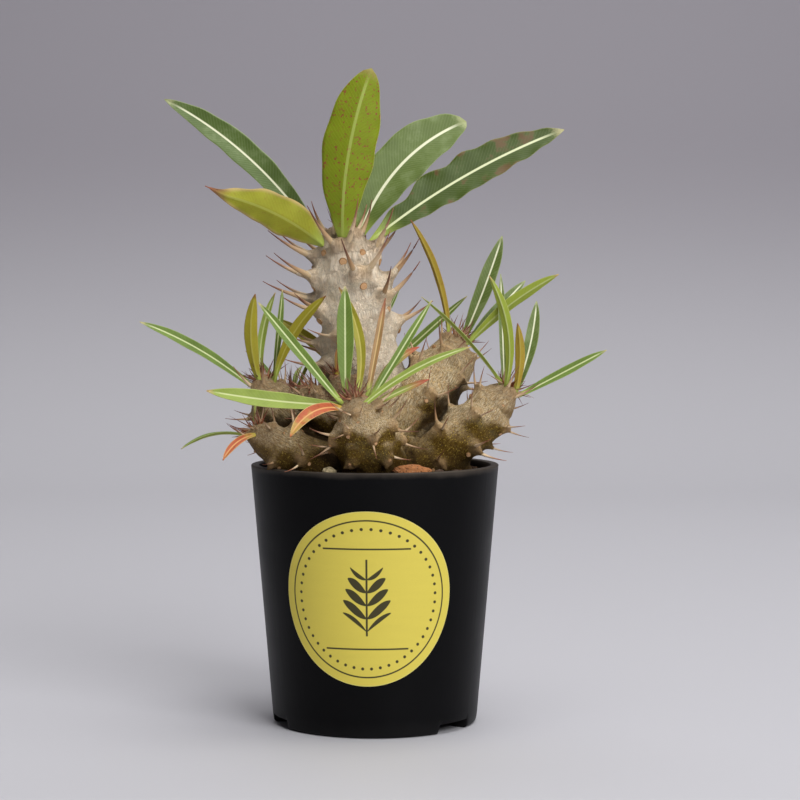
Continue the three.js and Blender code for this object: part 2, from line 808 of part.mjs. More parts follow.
// Tells whether a place is free of the leaves, the pot's rim and the soil.
function clearance() {
  const taken = [];
  for (const tuft of Object.values(TUFTS)) {
    for (const leaf of tuft.leaves) {
      const run = leafRun(tuft, leaf);
      const count = Math.ceil(leaf.reach / LEAF_CHECKS);
      for (let i = 0; i <= count; i++) {
        const half = Math.max(leafWidth(leaf, i / count) / 2, BLADE_RIB);
        taken.push([run.getPoint(i / count), half + SPINE_ROOM]);
      }
    }
  }
  return (spot) => {
    const fromAxis = Math.hypot(spot.x, spot.y);
    const overRim = fromAxis > RIM_RADIUS - RIM_WIDTH - 2 * SPINE_ROOM;
    if (spot.z < SOIL_LEVEL + SOIL_MOUND + SPINE_ROOM) return false;
    if (spot.z < POT_HEIGHT + SPINE_ROOM && overRim) return false;
    return taken.every(([place, reach]) => place.distanceTo(spot) > reach);
  };
}

// The woody body. The space that its limbs need in the soil is added to roots.
function caudexSolid(roots) {
  const isClear = clearance();
  const solids = [];
  for (const [name, shape] of Object.entries(LIMBS)) {
    const line = limb(shape);
    solids.push(line.surface);
    roots.push(limb(shape, ROOT_GAP).surface);
    for (const spot of knobsUp(name, shape)) solids.push(...knob(line, spot, isClear));
  }
  return joined(solids);
}

// Soil and stones

// The soil's top at a place, mounded towards the plant and lumpy.
function soilTop(x, y) {
  const nearness = 1 - Math.hypot(x, y) / RIM_RADIUS;
  const wave = (a, b) => Math.sin(SOIL_LUMPS * a + 2 * Math.sin(SOIL_SWERVE * b));
  const lumps = wave(x, y) * wave(y, x);
  return SOIL_LEVEL + SOIL_MOUND * smooth(nearness, 0, 0.5) + SOIL_GRAIN * lumps;
}

function soilSolid(roots) {
  const bottom = FLOOR_TOP + GAP;
  const reach = (height) => wallRadius(height) - WALL - GAP;
  const points = [vector(0, 0, soilTop(0, 0))];
  for (let ring = 1; ring <= SOIL_RINGS; ring++) {
    for (let i = 0; i < SOIL_SIDES; i++) {
      const spot = heading((360 * i) / SOIL_SIDES, 0);
      spot.multiplyScalar((reach(SOIL_LEVEL - SOIL_GRAIN) * ring) / SOIL_RINGS);
      points.push(spot.setZ(ring < SOIL_RINGS ? soilTop(spot.x, spot.y) : SOIL_LEVEL - SOIL_GRAIN));
    }
  }
  const foot = points.length;
  for (let i = 0; i < SOIL_SIDES; i++) {
    points.push(heading((360 * i) / SOIL_SIDES, 0).multiplyScalar(reach(bottom)).setZ(bottom));
  }
  points.push(vector(0, 0, bottom));
  const at = (ring, i) => (ring === 0 ? 0 : 1 + (ring - 1) * SOIL_SIDES + (i % SOIL_SIDES));
  const triangles = [];
  for (let i = 0; i < SOIL_SIDES; i++) {
    for (let ring = 0; ring < SOIL_RINGS; ring++) {
      triangles.push([at(ring, i), at(ring + 1, i), at(ring + 1, i + 1)]);
      if (ring > 0) triangles.push([at(ring, i), at(ring + 1, i + 1), at(ring, i + 1)]);
    }
    const [low, next] = [foot + i, foot + ((i + 1) % SOIL_SIDES)];
    const [high, after] = [at(SOIL_RINGS, i), at(SOIL_RINGS, i + 1)];
    triangles.push([high, low, next], [high, next, after], [points.length - 1, next, low]);
  }
  return solid(geometryFrom(points, triangles)).subtract(joined(roots));
}

// Loose stones: place, the half size each way, and colour.
const STONES = {
  white: { at: [-27, -29.5], half: [2.5, 1.3, 1.2], colour: COLOURS.whiteStone },
  beige: { at: [-16, -33], half: [2.7, 2.3, 2.5], colour: COLOURS.beigeStone },
  clay: { at: [13, -34], half: [7, 3, 2.6], colour: COLOURS.clayStone },
  dark: { at: [22.5, -30.5], half: [2.4, 1.8, 1.9], colour: COLOURS.darkStone },
  brown: { at: [28.5, -26], half: [2.6, 1.8, 1.7], colour: COLOURS.darkStone },
  grey: { at: [20, 32], half: [2.8, 2.2, 1.5], colour: COLOURS.beigeStone },
};
const STONE_ROUGHNESS = 0.14;

function stoneSolid({ at: [x, y], half }, seed) {
  const draw = draws(seed);
  const ball = mergeVertices(
    new THREE.IcosahedronGeometry(1, 1).deleteAttribute("normal").deleteAttribute("uv"),
    MERGE_WITHIN,
  );
  const places = ball.attributes.position;
  for (let i = 0; i < places.count; i++) {
    const size = 1 - STONE_ROUGHNESS + 2 * STONE_ROUGHNESS * draw();
    places.setXYZ(i, size * places.getX(i), size * places.getY(i), size * places.getZ(i));
  }
  ball.scale(...half).rotateZ(Math.atan2(y, x) + Math.PI / 2).translate(x, y, 0);
  let ground = 0;
  for (let i = 0; i < places.count; i++) {
    ground = Math.max(ground, soilTop(places.getX(i), places.getY(i)) - places.getZ(i));
  }
  return solid(ball.translate(0, 0, ground + GAP));
}

const roots = [];
addPiece("pot", potSolid(), COLOURS.pot);
addPiece("label", labelSolid(), COLOURS.label);
addPiece("caudex", caudexSolid(roots), COLOURS.bark);
addPiece("soil", soilSolid(roots), COLOURS.soil);
Object.entries(STONES).forEach(([name, stone], i) => {
  addPiece(`stone_${name}`, stoneSolid(stone, i + 1), stone.colour);
});
for (const [name, tuft] of Object.entries(TUFTS)) {
  tuft.leaves.forEach((leaf, i) => {
    addPiece(`leaf_${name}_${i + 1}`, leafSolid(tuft, leaf), COLOURS[leaf.colour ?? "leaf"]);
  });
}

export default plant;
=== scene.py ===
# A potted caudex plant: a short spiny trunk ringed by thick side limbs, tufts of narrow
# leaves, a black nursery pot with a round sticker, and soil with loose stones.
# Lengths are in millimetres until a mesh is made. +Z is up and -Y is the front.
import math

import bpy
import numpy as np
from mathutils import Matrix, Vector, noise


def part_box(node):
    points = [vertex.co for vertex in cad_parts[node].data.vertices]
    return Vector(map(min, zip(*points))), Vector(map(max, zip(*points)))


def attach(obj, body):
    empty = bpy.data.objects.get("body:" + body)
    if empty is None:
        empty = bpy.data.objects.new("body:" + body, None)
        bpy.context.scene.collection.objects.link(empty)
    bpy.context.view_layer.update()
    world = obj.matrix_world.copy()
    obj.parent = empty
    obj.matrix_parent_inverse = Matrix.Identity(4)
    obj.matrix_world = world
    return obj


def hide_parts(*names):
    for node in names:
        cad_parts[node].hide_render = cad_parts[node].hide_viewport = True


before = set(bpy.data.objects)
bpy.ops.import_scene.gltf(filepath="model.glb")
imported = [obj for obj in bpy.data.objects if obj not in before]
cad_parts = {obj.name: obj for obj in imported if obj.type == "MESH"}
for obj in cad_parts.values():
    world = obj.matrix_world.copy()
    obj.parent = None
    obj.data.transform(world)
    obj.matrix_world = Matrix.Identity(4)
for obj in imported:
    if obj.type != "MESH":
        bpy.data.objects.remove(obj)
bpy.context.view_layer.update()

MM = 0.001
FAR = 1e3
UP = np.array([0.0, 0.0, 1.0])
STEEP = 0.8  # rise of a unit vector from which it counts as upright

# Camera

CAMERA_PLACE = (0, -800, 155.2)
CAMERA_DIP = 0.0479  # radians below level
CAMERA_YAW = 0.0114  # radians to the right
IMAGE_SIDE = 800  # pixels
FOCAL_PIXELS = 2204


def add_camera():
    lens = bpy.data.cameras.new("camera")
    lens.sensor_width = 36
    lens.lens = FOCAL_PIXELS / IMAGE_SIDE * lens.sensor_width
    camera = bpy.data.objects.new("camera", lens)
    camera.location = Vector(CAMERA_PLACE) * MM
    camera.rotation_euler = (math.pi / 2 - CAMERA_DIP, 0, -CAMERA_YAW)
    bpy.context.scene.collection.objects.link(camera)
    bpy.context.scene.camera = camera


add_camera()


# Numbers and directions


def mix(first, second, share):
    return first + (second - first) * share


def smooth(value, low, high):
    share = np.clip((value - low) / (high - low), 0, 1)
    return share * share * (3 - 2 * share)


def unit(vectors):
    return vectors / np.linalg.norm(vectors, axis=-1, keepdims=True)


def heading(angle, rise):
    """The unit vector at a compass angle (0 is +X, 90 is +Y) and a rise, in degrees."""
    angle, rise = np.radians(angle), np.radians(rise)
    level = np.cos(rise)
    return np.stack([level * np.cos(angle), level * np.sin(angle), np.sin(rise) + 0 * angle], -1)


def square_to(axis, wanted):
    """Unit vectors square to an axis, as near as they can be to the wanted ones."""
    return unit(wanted - axis * np.sum(wanted * axis, -1, keepdims=True))


def draws(seed):
    """Repeatable random numbers from 0 to 1."""
    factor, step, limit = 1664525, 1013904223, 2**32
    state = seed
    while True:
        state = (state * factor + step) % limit
        yield state / limit


def ripple(points, wavelength, seed):
    """Smooth noise from -1 to 1 at each point."""
    shift = Vector((seed * 17.3, seed * 5.9, seed * 11.1))
    return np.array([noise.noise(Vector(p) / wavelength + shift) for p in points])


def curve_at(course, shares):
    """The smooth curve through the points of a course, at shares of the way."""
    knots = np.vstack([2 * course[0] - course[1], course, 2 * course[-1] - course[-2]])
    at = np.asarray(shares) * (len(course) - 1)
    first = np.minimum(at.astype(int), len(course) - 2)
    t = (at - first)[:, None]
    p0, p1, p2, p3 = (knots[first + i] for i in range(4))
    d0, d1, d2 = (
        np.sqrt(np.linalg.norm(b - a, axis=1))[:, None]
        for a, b in ((p0, p1), (p1, p2), (p2, p3))
    )
    leave = ((p1 - p0) / d0 - (p2 - p0) / (d0 + d1) + (p2 - p1) / d1) * d1
    arrive = ((p2 - p1) / d1 - (p3 - p1) / (d1 + d2) + (p3 - p2) / d2) * d1
    bend = 3 * (p2 - p1) - 2 * leave - arrive
    return p1 + leave * t + bend * t**2 + (2 * (p1 - p2) + leave + arrive) * t**3


# Meshes


def loft(rings):
    """Points and faces of a closed skin over rings of points."""
    steps, sides = rings.shape[:2]
    corner = np.arange(steps * sides).reshape(steps, sides)
    after = np.roll(corner, -1, axis=1)
    walls = np.stack([corner[:-1], after[:-1], after[1:], corner[1:]], -1)
    faces = walls.reshape(-1, 4).tolist()
    return rings.reshape(-1, 3), [corner[0, ::-1].tolist(), *faces, corner[-1].tolist()]


class Heap:
    """The points, faces and marks of many small forms, for one mesh."""

    def __init__(self):
        self.points = []
        self.faces = []
        self.marks = {}
        self.count = 0

    def add(self, points, faces, **marks):
        self.points.append(points)
        self.faces += [[corner + self.count for corner in face] for face in faces]
        for name, values in marks.items():
            values = np.broadcast_to(values, (len(points), *np.shape(values)[1:]))
            self.marks.setdefault(name, []).append(values)
        self.count += len(points)

    def piece(self, name, finish, slot):
        marks = {mark: np.concatenate(values) for mark, values in self.marks.items()}
        add_piece(name, np.concatenate(self.points), self.faces, finish, marks=marks)


def make_object(name, points, faces, finish, marks=None):
    """A mesh object in metres. Marks are values at its points, for its finish."""
    mesh = bpy.data.meshes.new(name)
    mesh.from_pydata((np.asarray(points) * MM).tolist(), [], faces)
    for mark, values in (marks or {}).items():
        values = np.asarray(values, np.float32)
        kind = "FLOAT" if values.ndim == 1 else "FLOAT_VECTOR"
        attribute = mesh.attributes.new(mark, kind, "POINT")
        attribute.data.foreach_set("value" if values.ndim == 1 else "vector", values.ravel())
    mesh.shade_smooth()
    mesh.materials.append(finish.material)
    made = bpy.data.objects.new(name, mesh)
    bpy.context.scene.collection.objects.link(made)
    return made


def add_piece(name, points, faces, finish, nodes=(), marks=None):
    piece = make_object(name, points, faces, finish, marks)
    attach(piece, "root")
    if nodes:
        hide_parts(*nodes)
    return piece


# Finishes


def tone(red, green, blue):
    """A colour as seen on a screen, 0 to 255, as light."""
    shares = [channel / 255 for channel in (red, green, blue)]
    light = [s / 12.92 if s <= 0.04045 else ((s + 0.055) / 1.055) ** 2.4 for s in shares]
    return (*light, 1)


class Wire:
    """A socket that adds up like a number."""

    def __init__(self, finish, socket):
        self.finish = finish
        self.socket = socket

    def __add__(self, other):
        return self.finish.math("ADD", self, other)

    __radd__ = __add__

    def __sub__(self, other):
        return self.finish.math("SUBTRACT", self, other)

    def __rsub__(self, other):
        return self.finish.math("SUBTRACT", other, self)

    def __mul__(self, other):
        return self.finish.math("MULTIPLY", self, other)

    __rmul__ = __mul__

    def __truediv__(self, other):
        return self.finish.math("DIVIDE", self, other)

    def __pow__(self, other):
        return self.finish.math("POWER", self, other)

    def __abs__(self):
        return self.finish.math("ABSOLUTE", self)


class Finish:
    """A material and the nodes that vary it over a surface."""

    def __init__(self, name, **constants):
        self.material = bpy.data.materials.new(name)
        self.material.use_nodes = True
        self.tree = self.material.node_tree
        self.shader = self.tree.nodes["Principled BSDF"]
        for socket, value in constants.items():
            self.set(socket.replace("_", " ").title().replace("Ior", "IOR"), value)

    def set(self, socket, value):
        if isinstance(value, Wire):
            self.tree.links.new(value.socket, self.shader.inputs[socket])
        else:
            self.shader.inputs[socket].default_value = value

    def node(self, kind, settings, sockets, out=0):
        """Adds a node, with its settings first and then its sockets' values or links."""
        node = self.tree.nodes.new("ShaderNode" + kind)
        for setting, value in settings.items():
            setattr(node, setting, value)
        for socket, value in sockets.items():
            if isinstance(value, Wire):
                self.tree.links.new(value.socket, node.inputs[socket])
            else:
                node.inputs[socket].default_value = value
        return Wire(self, node.outputs[out])

    def math(self, operation, *values):
        return self.node("Math", {"operation": operation}, dict(enumerate(values)))

    def ease(self, value, low, high):
        """0 below the low value, 1 above the high one, and smooth between."""
        sockets = {"Value": value, "From Min": low, "From Max": high}
        return self.node("MapRange", {"interpolation_type": "SMOOTHSTEP"}, sockets)

    def blend(self, share, first, second):
        """From the first colour to the second."""
        return self.node("Mix", {"data_type": "RGBA"}, {0: share, 6: first, 7: second}, 2)

    def mark(self, name):
        return self.node("Attribute", {"attribute_name": name}, {}, "Fac")

    def mark_place(self, name):
        return self.node("Attribute", {"attribute_name": name}, {}, "Vector")

    def place(self):
        """The place on the object, in millimetres."""
        spot = self.node("TexCoord", {}, {}, "Object")
        return self.stretch(spot, (1 / MM, 1 / MM, 1 / MM))

    def stretch(self, place, sizes):
        return self.node("VectorMath", {"operation": "MULTIPLY"}, {0: place, 1: sizes})

    def part(self, place, axis):
        return self.node("SeparateXYZ", {}, {0: place}, "XYZ".index(axis))

    def cloud(self, place, size, detail=3.0, roughness=0.55):
        """Noise round 0.5, in patches of about a size in millimetres."""
        sockets = {"Vector": place, "Scale": 1 / size, "Detail": detail, "Roughness": roughness}
        return self.node("TexNoise", {}, sockets)

    def cells(self, place, size):
        """Distances to the middles of scattered cells of about a size in millimetres."""
        return self.node("TexVoronoi", {}, {"Vector": place, "Scale": 1 / size})

    def largest(self, first, *others):
        for other in others:
            first = self.math("MAXIMUM", first, other)
        return first

    def relief(self, height, depth, strength):
        """Raises the surface by a height from 0 to 1, of a depth in millimetres."""
        sockets = {"Strength": strength, "Distance": depth * MM, "Height": height}
        self.set("Normal", self.node("Bump", {}, sockets))


# Pot

POT_HEIGHT = 93.7
RIM_RADIUS = 45
FOOT_RADIUS = 37
FOOT_EDGE = 1.6
WALL = 2.4
RIM_WIDTH = 3
RIM_DEPTH = 2.5
RIM_ROUND = 0.5
FOOT_RING = 3.5
FLOOR_UNDERSIDE = 4
FLOOR_TOP = 6.2
POT_SIDES = 144
WALL_STEPS = 48
NOTCH_WIDTH = 16
NOTCH_HEIGHT = 3.5
NOTCH_EDGE = 0.3  # rise of a notch's side is this wide
NOTCH_ANGLES = (-40, 80, 200)
DRAIN_RADIUS = 3.5
DRAIN_CIRCLE = 22
DRAIN_HOLES = 4
DRILL_SIDES = 24
POT_WAVER = 0.12  # unevenness of the moulded wall
WAVER_SIZE = 22
POT_CREASE = 50  # degrees from which an edge is sharp


def wall_radius(height):
    return mix(FOOT_RADIUS, RIM_RADIUS, height / POT_HEIGHT)


def arc(centre, radius, first, last, count=5):
    """Points of an arc in a profile, from one angle to another, in degrees."""
    turns = np.radians(np.linspace(first, last, count))
    return [[centre[0] + radius * np.cos(t), centre[1] + radius * np.sin(t)] for t in turns]


def pot_profile():
    """The pot's section: out under the floor, up outside and down inside."""
    ring_inside = FOOT_RADIUS - FOOT_EDGE - FOOT_RING
    inner_rim = RIM_RADIUS - RIM_WIDTH
    rim_foot = POT_HEIGHT - RIM_DEPTH
    heights = np.linspace(FOOT_EDGE, POT_HEIGHT - RIM_ROUND, WALL_STEPS)
    inside = np.linspace(rim_foot - RIM_ROUND, FLOOR_TOP, WALL_STEPS // 2)
    return np.array(
        [
            [1, FLOOR_UNDERSIDE],
            [DRAIN_CIRCLE, FLOOR_UNDERSIDE],
            [ring_inside, FLOOR_UNDERSIDE],
            [ring_inside, NOTCH_HEIGHT / 2],
            *arc([ring_inside + RIM_ROUND, RIM_ROUND], RIM_ROUND, 180, 270),
            *arc([FOOT_RADIUS - FOOT_EDGE, FOOT_EDGE], FOOT_EDGE, 270, 350, 8),
            *[[wall_radius(h), h] for h in heights[1:]],
            *arc([RIM_RADIUS - RIM_ROUND, POT_HEIGHT - RIM_ROUND], RIM_ROUND, 10, 90),
            *arc([inner_rim + RIM_ROUND, POT_HEIGHT - RIM_ROUND], RIM_ROUND, 90, 180),
            *[[inner_rim, h] for h in (rim_foot + RIM_ROUND, rim_foot)],
            *[[wall_radius(h) - WALL, h] for h in inside],
            [DRAIN_CIRCLE, FLOOR_TOP],
            [1, FLOOR_TOP],
        ]
    )


def pot_angles():
    """Even steps round the pot, with steps added at the sides of the notches."""
    half = math.degrees(NOTCH_WIDTH / 2 / FOOT_RADIUS)
    edge = math.degrees(NOTCH_EDGE / FOOT_RADIUS)
    sides = [n + s * half + e * edge for n in NOTCH_ANGLES for s in (-1, 1) for e in (-1, 0, 1)]
    even = np.arange(0, 360, 360 / POT_SIDES)
    return np.unique(np.round(np.concatenate([even, np.mod(sides, 360)]), 3))


def pot_piece(finish):
    profile = pot_profile()
    angles = pot_angles()
    around = heading(angles, 0)
    rings = profile[:, None, :1] * around[None] + profile[:, None, 1:] * UP
    off = np.abs((angles[:, None] - np.array(NOTCH_ANGLES) + 180) % 360 - 180).min(1)
    arc_off = np.radians(off) * FOOT_RADIUS
    notch = 1 - smooth(arc_off, NOTCH_WIDTH / 2 - NOTCH_EDGE, NOTCH_WIDTH / 2 + NOTCH_EDGE)
    low = rings[..., 2]
    rings[..., 2] = low + notch * np.maximum(NOTCH_HEIGHT - low, 0)
    points, faces = loft(rings)
    outside = np.linalg.norm(points[:, :2], axis=1) > wall_radius(points[:, 2]) - WALL / 2
    waver = POT_WAVER * ripple(points * [1, 1, 0.3], WAVER_SIZE, 3) * outside
    points = points + unit(points * [1, 1, 0]) * waver[:, None]
    pot = add_piece("pot_wall", points, faces, finish, ["pot"])
    drill_drain_holes(pot, finish)


def drill_drain_holes(pot, finish):
    drills = Heap()
    turns = np.linspace(0, 360, DRILL_SIDES, endpoint=False)
    for i in range(DRAIN_HOLES):
        middle = DRAIN_CIRCLE * heading(360 * (i + 0.5) / DRAIN_HOLES, 0)
        circle = middle + DRAIN_RADIUS * heading(turns, 0)
        drills.add(*loft(np.stack([circle, circle + 2 * FLOOR_TOP * UP])))
    cutter = make_object("drills", np.concatenate(drills.points), drills.faces, finish)
    boolean = pot.modifiers.new("drain_holes", "BOOLEAN")
    boolean.operation = "DIFFERENCE"
    boolean.object = cutter
    graph = bpy.context.evaluated_depsgraph_get()
    drilled = bpy.data.meshes.new_from_object(pot.evaluated_get(graph))
    pot.modifiers.clear()
    pot.data = drilled
    bpy.data.objects.remove(cutter)
    drilled.shade_smooth()
    drilled.set_sharp_from_angle(angle=math.radians(POT_CREASE))


def pot_plastic():
    """Black moulded plastic, dusty at the rim, with faint scuffs."""
    plastic = Finish("pot_plastic", specular_ior_level=0.1)
    place = plastic.place()
    height = plastic.part(place, "Z")
    haze = plastic.cloud(place, 14, 4)
    streaks = plastic.cloud(plastic.stretch(place, (1, 1, 0.12)), 3, 4, 0.7)
    rubbed = plastic.cloud(plastic.stretch(place, (1, 1, 0.35)), 1.2, 5, 0.75)
    scuffs = plastic.ease(rubbed, 0.66, 0.8)
    dust = plastic.ease(height + 3 * haze, POT_HEIGHT - 1, POT_HEIGHT + 2)
    foot = 1 - plastic.ease(height - 4 * haze, -2, 5)
    black = plastic.blend(haze, tone(3, 3, 4), tone(9, 9, 11))
    scuffed = plastic.blend(scuffs * 0.14, black, tone(70, 68, 70))
    dusty = plastic.blend(dust * 0.7, scuffed, tone(86, 78, 70))
    plastic.set("Base Color", plastic.blend(foot * 0.12, dusty, tone(60, 58, 58)))
    plastic.set("Roughness", 0.34 + 0.14 * haze + 0.12 * scuffs + 0.15 * dust)
    plastic.relief(streaks + 0.8 * haze, 0.12, 0.35)
    return plastic


# Sticker

LABEL_RADIUS = 30.8
LABEL_HEIGHT = 49.7
LABEL_ANGLE = -94
LABEL_GAP = 0.05
LABEL_THICKNESS = 0.3
LABEL_SPOKES = 128
LABEL_RINGS = 24
LABEL_CREASE = 40  # degrees from which an edge is sharp
PRINT_BLUR = 0.12
RING_RADIUS = 27.6
RING_WIDTH = 0.55
BEADS = 48
BEAD_CIRCLE = 24.6
BEAD_RADIUS = 0.55
RULE_RISE = 17.6  # above and below the middle
RULE_LENGTH = 30
RULE_WIDTH = 0.6
STEM_RISE = 0.5
STEM_LENGTH = 27
STEM_WIDTH = 0.7
SPRIG_SLOPE = math.radians(38)
SPRIG_PITCH = 4.6  # from each pair of its leaves to the next
SPRIG_PAIRS = 4
SPRIG_MIDDLE = -3  # height of its longest leaves
SPRIG_LENGTH = 11.5
SPRIG_SHORTENING = 0.3  # of the leaves for each millimetre from the longest ones
SPRIG_WIDTH = 1.45  # half of a leaf's


def label_piece(finish):
    """A round sheet bent round the pot. Its marks are the places on the flat sheet."""
    disc = LABEL_RADIUS * np.linspace(1 / LABEL_RINGS, 1, LABEL_RINGS)[:, None]
    turns = np.linspace(0, 2 * np.pi, LABEL_SPOKES, endpoint=False)
    across = disc * np.cos(turns)
    up = disc * np.sin(turns)
    height = LABEL_HEIGHT + up
    around = heading(LABEL_ANGLE + np.degrees(across / wall_radius(LABEL_HEIGHT)), 0)
    back, front = (
        (wall_radius(height) + lift)[..., None] * around + height[..., None] * UP
        for lift in (LABEL_GAP, LABEL_GAP + LABEL_THICKNESS)
    )
    points, faces = loft(np.concatenate([back, front[::-1]]))
    flat = np.stack([across, up, 0 * up], -1)
    marks = {"sheet": np.concatenate([flat, flat[::-1]]).reshape(-1, 3)}
    label = add_piece("sticker", points, faces, finish, ["label"], marks)
    label.data.set_sharp_from_angle(angle=math.radians(LABEL_CREASE))


def printed_line(paper, distance, width):
    """1 within half a width of a line, and 0 beyond."""
    return 1 - paper.ease(abs(distance), width / 2 - PRINT_BLUR, width / 2 + PRINT_BLUR)


def printed_beads(paper, across, up, away):
    """A circle of round beads."""
    turn = paper.math("ARCTAN2", up, across) * (BEADS / (2 * math.pi))
    beside = (paper.math("FRACT", turn + BEADS) - 0.5) * (2 * math.pi * BEAD_CIRCLE / BEADS)
    off = (beside * beside + (away - BEAD_CIRCLE) ** 2) ** 0.5
    return 1 - paper.ease(off, BEAD_RADIUS - PRINT_BLUR, BEAD_RADIUS + PRINT_BLUR)


def printed_sprig(paper, across, up):
    """A stem with pairs of slanting leaves."""
    stem_reach = printed_line(paper, up - STEM_RISE, STEM_LENGTH)
    stem = printed_line(paper, across, STEM_WIDTH) * stem_reach
    out = abs(across)
    start = up - out * math.tan(SPRIG_SLOPE)
    spacing = SPRIG_PITCH * math.cos(SPRIG_SLOPE)
    aside = abs(paper.math("FRACT", start / SPRIG_PITCH + 10) - 0.5) * spacing
    length = SPRIG_LENGTH - SPRIG_SHORTENING * abs(up - SPRIG_MIDDLE)
    share = paper.math("MINIMUM", out / math.cos(SPRIG_SLOPE) / length, 1)
    belly = paper.math("SINE", share * math.pi) ** 0.75 * SPRIG_WIDTH
    inside = paper.ease(belly - aside, 0, PRINT_BLUR) * (1 - paper.ease(share, 0.95, 1))
    reach = printed_line(paper, start + SPRIG_PITCH / 2, SPRIG_PAIRS * SPRIG_PITCH + 0.2)
    return paper.largest(stem, inside * reach)


def label_paper():
    """Yellow paper printed in black: a ring, beads, two rules and a leafy sprig."""
    paper = Finish("label_paper", specular_ior_level=0.4)
    sheet = paper.mark_place("sheet")
    across = paper.part(sheet, "X")
    up = paper.part(sheet, "Y")
    away = (across * across + up * up) ** 0.5
    rule_reach = printed_line(paper, across, RULE_LENGTH)
    ink = paper.largest(
        printed_line(paper, away - RING_RADIUS, RING_WIDTH),
        printed_beads(paper, across, up, away),
        printed_line(paper, abs(up) - RULE_RISE, RULE_WIDTH) * rule_reach,
        printed_sprig(paper, across, up),
    )
    fibre = paper.cloud(paper.place(), 0.5, 4)
    bands = paper.cloud(paper.stretch(sheet, (0.15, 1, 1)), 2.5, 3)
    yellow = paper.blend(fibre * 0.35 + bands * 0.4, tone(230, 212, 88), tone(214, 196, 82))
    edge = paper.ease(away, LABEL_RADIUS - 0.35, LABEL_RADIUS)
    worn = paper.blend(edge * 0.5, yellow, tone(232, 226, 160))
    paper.set("Base Color", paper.blend(ink * 0.95, worn, tone(30, 28, 18)))
    paper.set("Roughness", 0.5 - 0.12 * ink + 0.1 * fibre)
    paper.relief(fibre + 0.5 * ink, 0.03, 0.4)
    return paper


# Woody body

# Each limb: centre points with the radius there, from its root to its growing tip, and the
# number of small spines in the tuft at the tip. Where knobs wind up it: how many, how far
# below the tip the first and last are, the turn of the first, and the length of their spines.
LIMBS = {
    "trunk": dict(
        course=[
            (4, 4, 68, 12), (4, 3, 84, 18), (1, 3, 105, 16.5), (-4, 3, 128, 14),
            (-7, 2, 148, 12.8), (-9.5, 2, 162, 11.4), (-10.8, 2, 170.5, 8.6), (-11, 2, 174, 4),
        ],
        tuft=14,
    ),
    "front": dict(
        course=[
            (2, -6, 84, 14), (0, -18, 92, 12.5), (-2, -28, 99.5, 11), (-3.5, -33.5, 107, 10.2),
            (-5.5, -35.5, 114, 6.4), (-6.5, -36, 117.5, 3),
        ],
        tuft=46,
    ),
    "left": dict(
        course=[
            (-4, -1, 90, 15), (-10, -2, 101, 13.5), (-20, -4, 107, 10.8), (-30, -5.5, 110, 9),
            (-37, -6, 116, 7.3), (-39.5, -6, 122, 3.8),
        ],
        knobs=dict(count=12, first=3, last=30, turn=250, spine=8),
        tuft=38,
    ),
    "low_left": dict(
        course=[
            (-6, -10, 86, 13), (-18, -16, 93, 10.5), (-28, -19, 98, 8),
            (-35.5, -20.5, 101.8, 6.6), (-40.5, -21, 106.5, 3.2),
        ],
        knobs=dict(count=9, first=2, last=22, turn=190, spine=7.5),
        tuft=28,
    ),
    "right_upper": dict(
        course=[
            (7, -2, 93, 14), (11, -3, 107, 10.5), (17.5, 0, 118, 11), (24.5, 5, 126.5, 10),
            (28, 7.5, 132.5, 7.3), (30, 8, 137, 3.8),
        ],
        knobs=dict(count=14, first=3, last=31, turn=215, spine=8.5),
        tuft=34,
    ),
    "right_lower": dict(
        course=[
            (9, -8, 84, 13), (16, -10, 92, 10), (26, -11, 100.5, 9.2), (35, -10.5, 107.8, 8.8),
            (42, -9, 114.3, 7.6), (46.5, -8, 119.5, 4.2),
        ],
        knobs=dict(count=15, first=3, last=37, turn=290, spine=8.5),
        tuft=34,
    ),
    "middle": dict(
        course=[
            (-4, -8, 100, 10), (-8, -13, 114, 8), (-11, -14, 121, 6), (-12.5, -14.5, 125, 2.5),
        ],
        knobs=dict(count=3, first=2, last=9, turn=230, spine=5),
        tuft=28,
    ),
    "bud": dict(
        course=[(-12, -8, 104, 8), (-19, -12, 114, 6), (-22.5, -14, 120, 3)],
        knobs=dict(count=5, first=1, last=8, turn=180, spine=6),
        tuft=16,
    ),
    "back": dict(
        course=[
            (4, 6, 86, 15), (2, 16, 96, 14), (-2, 21, 107, 11.5), (-4.5, 23.5, 116, 8.6),
            (-5, 24, 121, 4.2),
        ],
        knobs=dict(count=10, first=3, last=28, turn=30, spine=8),
        tuft=34,
    ),
    "back_left": dict(
        course=[
            (-4, 6, 86, 14), (-15, 13, 96, 12), (-24, 17, 106, 9.5), (-29.5, 18.5, 113, 7),
            (-31, 19, 116.5, 3.5),
        ],
        knobs=dict(count=6, first=2, last=24, turn=100, spine=7),
        tuft=28,
    ),
}

# Trunk knobs: how far below the tip, the turn (0 right, 90 behind), the spines' length and rise.
TRUNK_KNOBS = [
    (1.5, -140, 13, 68), (2, -52, 13, 68), (1.5, 75, 12, 62), (4.5, -95, 19, 48),
    (5.5, 172, 18, 28), (6.5, -10, 17, 42), (6.5, 115, 16, 35), (9, 50, 16, 32),
    (12, -168, 18, 24), (14.5, -70, 18, 33), (15, 95, 16, 27), (18, 8, 18, 32),
    (19.5, 168, 18, 20), (22, 65, 16, 27), (24, -37, 16, 30), (24, -155, 13, 22),
    (27, 125, 14, 24), (32, 14, 13, 12), (33, 90, 12, 20), (33, -120, 9, 10),
    (36, 175, 10, 14), (40, 140, 11, 16), (43, -155, 12, 8),
]

